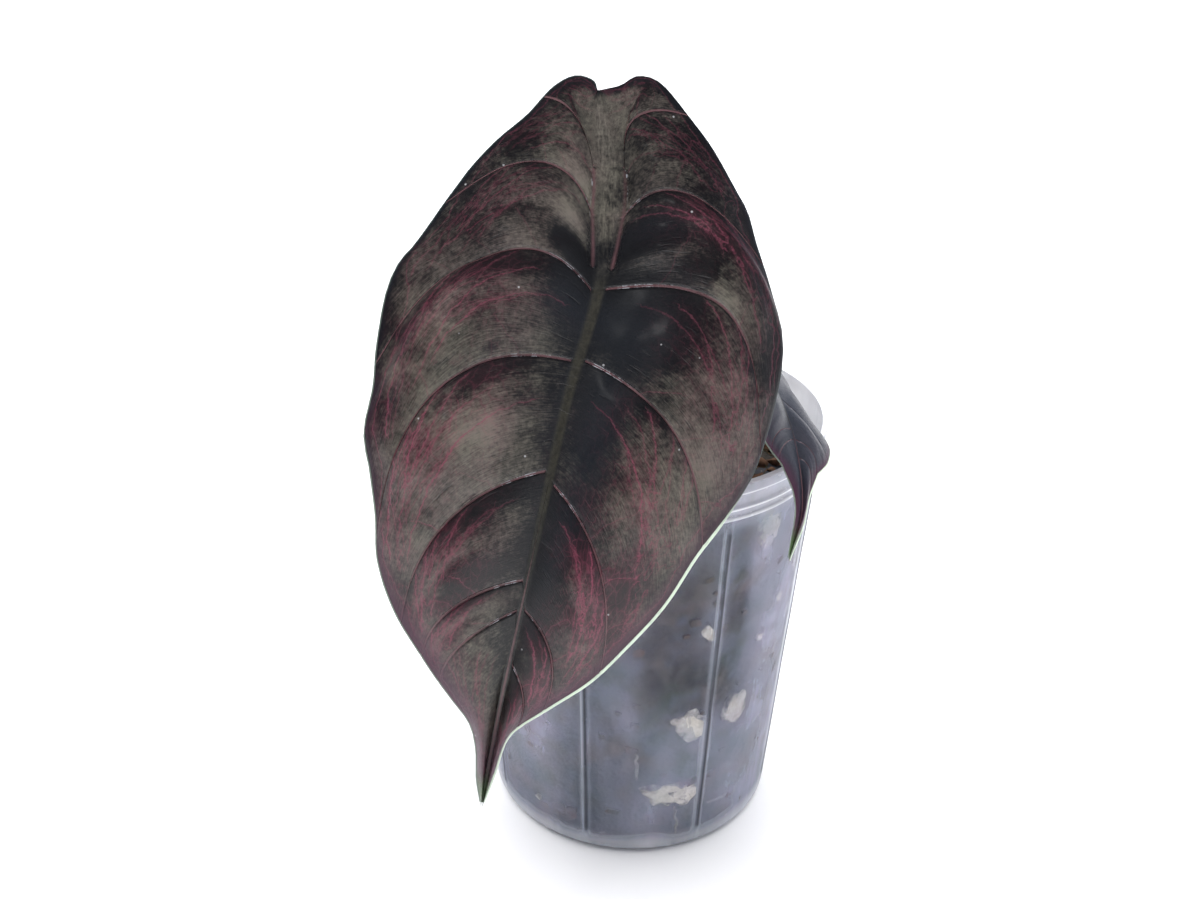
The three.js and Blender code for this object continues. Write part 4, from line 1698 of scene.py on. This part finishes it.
    def pierce(self, piece: bpy.types.Object) -> None:
        """Cuts the drain holes through the base.

        Args:
            piece: the pot.
        """
        cutter = bmesh.new()
        for i in range(self.drain_holes):
            angle = (i + 0.5) / self.drain_holes * 2 * math.pi
            spot = Vector((math.cos(angle), math.sin(angle), 0)) * self.drain_circle * MM
            bmesh.ops.create_cone(
                cutter,
                cap_ends=True,
                segments=self.drain_sides,
                radius1=self.drain_radius * MM,
                radius2=self.drain_radius * MM,
                depth=10 * MM,
                matrix=Matrix.Translation(spot),
            )
        data = bpy.data.meshes.new("drain_cutter")
        cutter.to_mesh(data)
        cutter.free()
        tool = bpy.data.objects.new("drain_cutter", data)
        bpy.context.scene.collection.objects.link(tool)
        cut = piece.modifiers.new("drain", "BOOLEAN")
        cut.operation = "DIFFERENCE"
        cut.solver = "EXACT"
        cut.object = tool
        bpy.context.view_layer.update()
        graph = bpy.context.evaluated_depsgraph_get()
        done = bpy.data.meshes.new_from_object(piece.evaluated_get(graph))
        piece.modifiers.clear()
        piece.data = done
        bpy.data.objects.remove(tool)


# Potting mix


class Grain(Enum):
    """Kinds of lump in the mix."""

    PUMICE = "mix_pumice"
    BARK = "mix_bark"
    COIR = "mix_coir"


@dataclass
class PottingMix:
    """The mix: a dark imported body, lumps at the wall and on top, and roots against the plastic."""

    pot: Pot
    depth_below_rim: float = 13.0
    crown: float = 3.0
    gap: float = 0.35
    seed: int = 7
    wall_lumps: int = 190
    top_lumps: int = 330
    fibres: int = 90
    fibre_points: int = 7
    fibre_step: float = 2.2
    fibre_radius: float = 0.16
    fibre_reach: float = 46.0
    fibre_limit: float = 49.0
    root_points: int = 15
    root_radius: float = 0.5
    shown_side: tuple[float, float] = (245.0, 340.0)
    body_rows: int = 70
    body_steps: int = 220
    top_rings: tuple[float, ...] = (
        0.985, 0.95, 0.9, 0.84, 0.77, 0.7, 0.62, 0.54, 0.46, 0.38, 0.3, 0.2, 0.1, 0.0,
    )  # fmt: skip
    hole: Point = (1.0, 1.5, 8.6)
    shown_pumice: tuple[tuple[float, float, float, float], ...] = (
        (-76.5, 23.5, 7.5, 4.6),
        (-69.0, 22.5, 5.5, 3.8),
        (-68.5, 50.0, 7.0, 4.4),
        (-50.5, 52.0, 5.0, 6.0),
        (-45.5, 117.0, 4.6, 6.2),
        (-65.5, 85.0, 1.8, 3.8),
        (-32.1, 86.4, 1.6, 1.4),
        (-41.7, 75.6, 1.8, 1.3),
    )
    roots: tuple[tuple[float, float, float, float], ...] = (
        (-72.5, 17.0, -71.0, 4.5),
        (-58.0, 14.5, -36.0, 14.0),
        (-89.3, 41.0, -88.6, 30.0),
        (120.0, 90.0, 112.0, 30.0),
        (30.0, 70.0, 42.0, 12.0),
        (200.0, 100.0, 214.0, 40.0),
    )

    def edge_radius(self, height: float) -> float:
        """Radius that the mix fills at a height."""
        return self.pot.wall_radius(height) - self.pot.wall - self.gap

    def top_at(self, radius: float) -> float:
        """Height of the mix's surface at a radius."""
        edge = self.pot.height - self.depth_below_rim
        return edge + self.crown * (1 - (radius / self.edge_radius(edge)) ** 2)

    def build(self, body: Look, looks: dict[Grain, Look], root_look: Look) -> None:
        """Builds the mix.

        Args:
            body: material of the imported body.
            looks: material of each kind of lump.
            root_look: material of the roots.
        """
        self.packed(body)
        chance = random.Random(self.seed)
        meshes = {kind: bmesh.new() for kind in Grain}
        for mesh in meshes.values():
            mesh.verts.layers.float.new("heart")
        for angle, height, wide, tall in self.shown_pumice:
            self.wall_lump(meshes[Grain.PUMICE], chance, angle, height, wide, tall, 1.6, True)
        for _ in range(self.wall_lumps):
            kind = chance.choices(list(Grain), weights=(2, 5, 4))[0]
            angle = chance.uniform(0, 360)
            height = chance.uniform(5, 120)
            wide = chance.uniform(1.0, 2.6) if kind is not Grain.BARK else chance.uniform(1.5, 4.5)
            if kind is not Grain.COIR and self.shown_side[0] < angle < self.shown_side[1]:
                kind = Grain.COIR
                wide *= 0.55
            tall = wide * chance.uniform(0.4, 0.8)
            self.wall_lump(meshes[kind], chance, angle, height, wide, tall, 1.0, False)
        for _ in range(self.top_lumps):
            kind = chance.choices(list(Grain), weights=(1, 7, 6))[0]
            self.top_lump(meshes[kind], chance)
        for _ in range(self.fibres):
            self.fibre(meshes[Grain.COIR], chance)
        for kind, mesh in meshes.items():
            finish_piece(mesh, kind.value, [looks[kind]], sharp=60)
        self.root_runs(chance, root_look)

    def packed(self, look: Look) -> None:
        """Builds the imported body.

        Args:
            look: its material.
        """
        foot = self.pot.floor + self.gap
        edge = self.pot.height - self.depth_below_rim
        profile = [(0.0, foot), (20.0, foot), (self.edge_radius(0) - 3.0, foot)]
        for i in range(self.body_rows + 1):
            height = 4 + (edge - 5) * i / self.body_rows
            profile.append((self.edge_radius(height), height))
        for share in self.top_rings:
            radius = self.edge_radius(edge) * share
            profile.append((radius, self.top_at(radius)))
        mesh = turned(profile, self.body_steps)
        for vert in mesh.verts:
            radius = math.hypot(vert.co.x, vert.co.y)
            if vert.co.z > edge - 0.6:
                vert.co.z += 1.1 * noise.noise(vert.co / 5) + 0.7 * noise.noise(vert.co / 2.2) - 0.4
            elif vert.co.z > 3 and radius > 30:
                hollow = 0.5 + 0.6 * noise.noise(vert.co / 9) + 0.3 * noise.noise(vert.co / 4.5)
                shift = 1 - max(0.0, hollow) * 1.2 / radius
                vert.co.x *= shift
                vert.co.y *= shift
        finish_piece(mesh, "mix_body", [look], ["potting_mix"], sharp=80)

    def lump(
        self,
        mesh: EditMesh,
        chance: random.Random,
        matrix: Matrix,
        rugged: float,
        rounded: bool,
    ) -> None:
        """Adds one rough lump, kept inside the plastic.

        Args:
            mesh: mesh that gets it.
            chance: source of numbers.
            matrix: its place, turn and half sizes.
            rugged: depth of its dents as a share of its size.
            rounded: whether it is rounded, not a split chip.
        """
        part = bmesh.new()
        if rounded:
            bmesh.ops.create_icosphere(part, subdivisions=3, radius=1)
        else:
            bmesh.ops.create_cube(part, size=1.7)
            bmesh.ops.bevel(
                part,
                geom=part.edges[:],
                offset=0.35,
                offset_type="OFFSET",
                segments=1,
                profile=0.5,
                affect="EDGES",
                material=-1,
            )
        shift = Vector((chance.uniform(0, 99), chance.uniform(0, 99), chance.uniform(0, 99)))
        heart = part.verts.layers.float.new("heart")
        for vert in part.verts:
            vert[heart] = 1 - math.hypot(vert.co.y, vert.co.z) if rounded else 1
            coarse = noise.noise(vert.co * 1.4 + shift)
            fine = noise.noise(vert.co * 4 + shift)
            vert.co *= 1 + rugged * (coarse + 0.4 * fine)
        bmesh.ops.transform(part, matrix=matrix, verts=part.verts[:])
        for vert in part.verts:
            out = math.hypot(vert.co.x, vert.co.y)
            cap = self.pot.wall_radius(vert.co.z) - self.pot.wall - 0.1
            if out > cap:
                vert.co.x *= cap / out
                vert.co.y *= cap / out
        append(mesh, part)

    def wall_lump(
        self,
        mesh: EditMesh,
        chance: random.Random,
        angle: float,
        height: float,
        wide: float,
        tall: float,
        deep: float,
        rounded: bool,
    ) -> None:
        """Adds a lump pressed flat against the plastic.

        Args:
            mesh: mesh that gets it.
            chance: source of numbers.
            angle: its direction from the axis, in degrees.
            height: its height.
            wide: half its width.
            tall: half its height.
            deep: half its depth.
            rounded: whether it is rounded.
        """
        turn = math.radians(angle)
        limit = self.edge_radius(height) + self.gap - 0.12
        radius = limit - deep * 0.45
        matrix = Matrix.Translation((radius * math.cos(turn), radius * math.sin(turn), height))
        matrix = matrix @ Matrix.Rotation(turn, 4, "Z")
        matrix = matrix @ Matrix.Rotation(chance.uniform(-0.5, 0.5), 4, "X")
        matrix = matrix @ Matrix.Diagonal((deep, wide, tall, 1))
        self.lump(mesh, chance, matrix, 0.5, rounded)

    def top_lump(self, mesh: EditMesh, chance: random.Random) -> None:
        """Adds a lump on top of the mix, clear of the stem.

        Args:
            mesh: mesh that gets it.
            chance: source of numbers.
        """
        size = 1.2 + 3.4 * chance.random() ** 1.8
        reach = self.edge_radius(120) - size * 1.2
        for _ in range(20):
            radius = reach * math.sqrt(chance.random())
            turn = chance.uniform(0, 2 * math.pi)
            x, y = radius * math.cos(turn), radius * math.sin(turn)
            if math.hypot(x - self.hole[0], y - self.hole[1]) > self.hole[2] + size:
                break
        matrix = Matrix.Translation((x, y, self.top_at(radius) + 0.1 * size))
        for axis, most in (("X", 0.6), ("Y", 0.6), ("Z", math.pi)):
            matrix = matrix @ Matrix.Rotation(chance.uniform(-most, most), 4, axis)
        matrix = matrix @ Matrix.Diagonal(
            (size, size * chance.uniform(0.5, 0.8), size * chance.uniform(0.35, 0.65), 1)
        )
        self.lump(mesh, chance, matrix, 0.55, False)

    def fibre(self, mesh: EditMesh, chance: random.Random) -> None:
        """Adds a coir fibre lying on the mix.

        Args:
            mesh: mesh that gets it.
            chance: source of numbers.
        """
        radius = self.fibre_reach * math.sqrt(chance.random())
        turn = chance.uniform(0, 2 * math.pi)
        ahead = chance.uniform(0, 2 * math.pi)
        x, y = radius * math.cos(turn), radius * math.sin(turn)
        path = []
        for _ in range(self.fibre_points):
            out = math.hypot(x, y)
            near_stem = math.hypot(x - self.hole[0], y - self.hole[1]) < self.hole[2] + 1
            if out > self.fibre_limit or near_stem:
                break
            path.append((x, y, self.top_at(out) + chance.uniform(0.4, 1.6)))
            ahead += chance.uniform(-0.5, 0.5)
            x += self.fibre_step * math.cos(ahead)
            y += self.fibre_step * math.sin(ahead)
        if len(path) > 3:
            part = bmesh.new()
            swept(part, np.array(path), [self.fibre_radius] * len(path), 5)
            append(mesh, part)

    def root_runs(self, chance: random.Random, look: Look) -> None:
        """Adds the pale roots that run behind the plastic.

        Args:
            chance: source of numbers.
            look: their material.
        """
        mesh = bmesh.new()
        last = self.root_points - 1
        fine = np.linspace(0, last, 3 * last + 1)
        swell = [math.sin(math.pi * (0.12 + 0.8 * step / last)) for step in range(last + 1)]
        radii = np.interp(fine, range(last + 1), [self.root_radius * share for share in swell])
        for angle_a, height_a, angle_b, height_b in self.roots:
            path = []
            for step in range(self.root_points):
                share = step / last
                height = height_a + (height_b - height_a) * share + chance.uniform(-0.5, 0.5)
                turn = math.radians(angle_a + (angle_b - angle_a) * share + chance.uniform(-0.5, 0.5))
                radius = self.pot.wall_radius(height) - self.pot.wall - 0.75
                path.append((radius * math.cos(turn), radius * math.sin(turn), height))
            swept(mesh, along_curve(path, fine), radii, 8)
        finish_piece(mesh, "mix_roots", [look])


# Stem and petioles


@dataclass
class Stem:
    """The short stem, ringed by leaf scars, with a rounded top."""

    foot: Point = (1.0, 3.0, 104.0)
    top: Point = (1.0, 1.0, 133.0)
    foot_radius: float = 10.0
    top_radius: float = 8.0
    scars: int = 4
    scar_height: float = 0.5
    dome_from: float = 0.84
    dome_span: float = 0.16
    dome: float = 0.98
    rings: int = 64
    sides: int = 40

    def build(self, look: Look) -> None:
        """Builds the stem.

        Args:
            look: its material.
        """
        mesh = bmesh.new()
        share = np.linspace(0, 1, self.rings)
        middle = [(a + b) / 2 for a, b in zip(self.foot, self.top)]
        path = along_curve([self.foot, middle, self.top], share * 2)
        scar = np.abs(np.sin(share * math.pi * self.scars)) ** 0.6 * self.scar_height
        radii = self.foot_radius + (self.top_radius - self.foot_radius) * share + scar
        rounding = np.clip((share - self.dome_from) / self.dome_span, 0, 1) ** 2
        swept(mesh, path, radii * np.sqrt(1 - self.dome * rounding), self.sides)
        for vert in mesh.verts:
            ripple = 0.25 * noise.noise(Vector((vert.co.x / 1.2, vert.co.y / 1.2, vert.co.z / 6)))
            vert.co += vert.normal * (ripple - 0.1)
        finish_piece(mesh, "stem", [look], ["stem_base"], sharp=60)


@dataclass
class Petiole:
    """A round leaf stalk that rises from the stem to the back of a blade."""

    name: str
    node: str
    route: tuple[Point, ...]
    foot: float
    top: float
    rings: int = 72
    sides: int = 24
    uneven: float = 0.12
    uneven_length: float = 9.434

    def build(self, look: Look) -> None:
        """Builds the petiole.

        Args:
            look: its material.
        """
        mesh = bmesh.new()
        share = np.linspace(0, 1, self.rings)
        path = along_curve(self.route, share * (len(self.route) - 1))
        radii = self.foot + (self.top - self.foot) * share**0.6
        swept(mesh, path, radii, self.sides)
        for vert in mesh.verts:
            vert.co += vert.normal * self.uneven * noise.noise(vert.co / self.uneven_length)
        finish_piece(mesh, self.name, [look], [self.node])


# Studio


@dataclass(frozen=True)
class Softbox:
    """A soft light: where it is, what it looks at, its size in metres and its power in watts."""

    name: str
    place: Point
    aim: Point
    size: tuple[float, float]
    power: float


@dataclass
class Studio:
    """The pale floor, the soft light and the camera."""

    camera_place: Point = (-0.0125, -0.394, 0.3192)
    camera_down: float = 26.62
    camera_roll: float = -1.09
    lens: float = 42.43
    floor_half: float = 14.0
    floor_drop: float = 0.0004
    floor_colour: Colour = (0.92, 0.92, 0.93)
    sky: Colour = (0.74, 0.82, 1.0)
    front: Colour = (0.04, 0.04, 0.045)
    window: Colour = (0.42, 0.44, 0.5)
    horizon: Colour = (0.93, 0.95, 1.0)
    front_side: Point = (-0.3, -0.95, 0.1)
    window_side: Point = (0.82, -0.5, 0.28)
    sun_from: Point = (-0.08, 0.2, 0.97)
    sun_power: float = 6.2
    sun_spread: float = 90.0
    lights: tuple[Softbox, ...] = (
        Softbox("glint", (-0.5, -0.9, 1.6), (0.0, -0.05, 0.15), (0.05, 0.05), 1.3),
    )

    def build(self) -> None:
        """Builds the stage."""
        mesh = bmesh.new()
        bmesh.ops.create_grid(mesh, x_segments=1, y_segments=1, size=self.floor_half)
        bmesh.ops.translate(mesh, vec=(0, 0, -self.floor_drop), verts=mesh.verts[:])
        data = bpy.data.meshes.new("floor")
        mesh.to_mesh(data)
        mesh.free()
        floor = bpy.data.objects.new("floor", data)
        bpy.context.scene.collection.objects.link(floor)
        material, sheet, shader = new_material("studio_floor")
        feed(sheet, shader, Base_Color=self.floor_colour, Roughness=0.85)
        data.materials.append(material)
        self.light()
        self.camera()

    def light(self) -> None:
        """Adds the soft lights and the surroundings."""
        for box in self.lights:
            lamp = bpy.data.lights.new(box.name, "AREA")
            lamp.shape = "RECTANGLE"
            lamp.size, lamp.size_y = box.size
            lamp.energy = box.power
            holder = bpy.data.objects.new(box.name, lamp)
            holder.location = box.place
            towards = Vector(box.aim) - Vector(box.place)
            holder.rotation_euler = towards.to_track_quat("-Z", "Y").to_euler()
            bpy.context.scene.collection.objects.link(holder)
        sun = bpy.data.lights.new("sun", "SUN")
        sun.energy = self.sun_power
        sun.angle = math.radians(self.sun_spread)
        holder = bpy.data.objects.new("sun", sun)
        holder.visible_glossy = False
        holder.rotation_euler = Vector(self.sun_from).to_track_quat("Z", "Y").to_euler()
        bpy.context.scene.collection.objects.link(holder)
        self.surroundings()

    def surroundings(self) -> None:
        """Makes the world: a pale horizon, a bluish sky, a bright window at the right and a dim front."""
        world = bpy.data.worlds.new("studio")
        world.use_nodes = True
        sheet = NodeSheet(world.node_tree)
        view = sheet.add("ShaderNodeTexCoord").outputs["Generated"]

        def towards(aim: Point) -> Socket:
            """Returns how nearly the view points along a direction, from -1 to 1."""
            node = sheet.add("ShaderNodeVectorMath", {"operation": "DOT_PRODUCT"}, i0=view, i1=aim)
            return node.outputs["Value"]

        up = sheet.add("ShaderNodeSeparateXYZ", Vector=view).outputs["Z"]
        glow = sheet.blend(sheet.span(up, 0.05, 0.7), self.sky, self.front)
        glow = sheet.over(glow, self.front, sheet.span(towards(self.front_side), 0.0, 0.8), 0.8)
        glow = sheet.over(glow, self.window, sheet.span(towards(self.window_side), 0.72, 0.95))
        glow = sheet.over(glow, self.horizon, sheet.span(up, 0.16, 0.03))
        world.node_tree.links.new(glow, world.node_tree.nodes["Background"].inputs["Color"])
        bpy.context.scene.world = world

    def camera(self) -> None:
        """Adds the camera at the photograph's angle."""
        lens = bpy.data.cameras.new("camera")
        lens.lens = self.lens
        lens.sensor_width = 36.0
        camera = bpy.data.objects.new("camera", lens)
        turn = Matrix.Rotation(math.radians(90 - self.camera_down), 4, "X")
        roll = Matrix.Rotation(math.radians(-self.camera_roll), 4, "Z")
        camera.matrix_world = Matrix.Translation(self.camera_place) @ turn @ roll
        bpy.context.scene.collection.objects.link(camera)
        bpy.context.scene.camera = camera


def main() -> None:
    """Builds the plant, its pot and the studio."""
    logging.basicConfig(level=logging.INFO, format="%(name)s: %(message)s")
    effects = Effects(dust=dust_group(), vein_net=vein_net_group(), haze=haze_group())
    upper = LeafFace().build(effects)
    under = PlantSkin(
        "leaf_underside", (0.085, 0.018, 0.030), (0.055, 0.014, 0.024), (0.11, 0.03, 0.04)
    ).build(effects)
    edge = MarginFinish().build()
    stalk = PlantSkin(
        "petiole_skin",
        (0.090, 0.030, 0.032),
        (0.045, 0.016, 0.020),
        (0.12, 0.055, 0.045),
        roughness=0.45,
        scale=120.0,
    ).build(effects)
    husk = PlantSkin(
        "stem_husk",
        (0.115, 0.062, 0.038),
        (0.060, 0.034, 0.024),
        (0.19, 0.12, 0.07),
        roughness=0.8,
        scale=150.0,
        relief=0.7,
        coat=0.0,
    ).build(effects)
    plastic = ClearPlastic().build(effects)
    soil = Crumb(
        "mix_soil",
        (0.013, 0.013, 0.012),
        (0.036, 0.031, 0.027),
        patches=(
            ((0.105, 0.085, 0.072), 44.0),
            ((0.040, 0.064, 0.034), 31.0),
            ((0.070, 0.080, 0.105), 63.0),
        ),
    ).build(effects)
    looks = {
        Grain.PUMICE: Crumb(
            "pumice", (0.58, 0.53, 0.43), (0.82, 0.77, 0.66), relief=0.4, soft_edge=True
        ).build(effects),
        Grain.BARK: Crumb("bark", (0.045, 0.026, 0.017), (0.095, 0.050, 0.030)).build(effects),
        Grain.COIR: Crumb("coir", (0.075, 0.036, 0.018), (0.028, 0.030, 0.016)).build(effects),
    }
    root_look = Crumb(
        "root_skin", (0.20, 0.19, 0.16), (0.28, 0.26, 0.22), roughness=0.6, scale=300.0, relief=0.3
    ).build(effects)

    pot = Pot()
    pot.build(plastic)
    PottingMix(pot).build(soil, looks, root_look)
    Stem().build(husk)
    Petiole(
        "stalk_front",
        "petiole_front",
        ((-3.3, 0, 124), (-4.5, -5, 145), (-8.5, -19, 170), (-12.6, -38, 187), (-13.2, -54.4, 194.1)),
        foot=3.9,
        top=2.5,
    ).build(stalk)
    Petiole(
        "stalk_side",
        "petiole_side",
        ((5, 3, 125), (8, -2, 139), (13, -10, 151.5), (20.5, -17.8, 162.5), (27.4, -22.5, 168.7)),
        foot=2.9,
        top=1.6,
    ).build(stalk)
    Blade(
        "blade_front", "leaf_front", FRONT_POSE, rows_per_cell=40, columns=64, spots=True
    ).build(upper, under, edge)
    # The side blade's face: the leaf finish with its colours lifted to bluish greys as painted reflection
    # of the sky.
    sky_tinted_face = LeafFace(
        "leaf_side_upper",
        dark=(0.030, 0.033, 0.046),
        bloom_and_sheen=(0.060, 0.064, 0.086),
        warm=(0.064, 0.060, 0.078),
        crimson=(0.060, 0.040, 0.062),
        roughness=0.36,
        red=0.4,
    ).build(effects)
    Blade(
        "blade_side",
        "leaf_side",
        SIDE_POSE,
        rows_per_cell=20,
        columns=36,
        spots=False,
        midrib_depth=1.6,
        groove=0.25,
    ).build(sky_tinted_face, under, edge)
    Studio().build()
    bpy.context.scene.view_settings.view_transform = "Standard"

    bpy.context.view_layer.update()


if __name__ == "__main__":
    main()
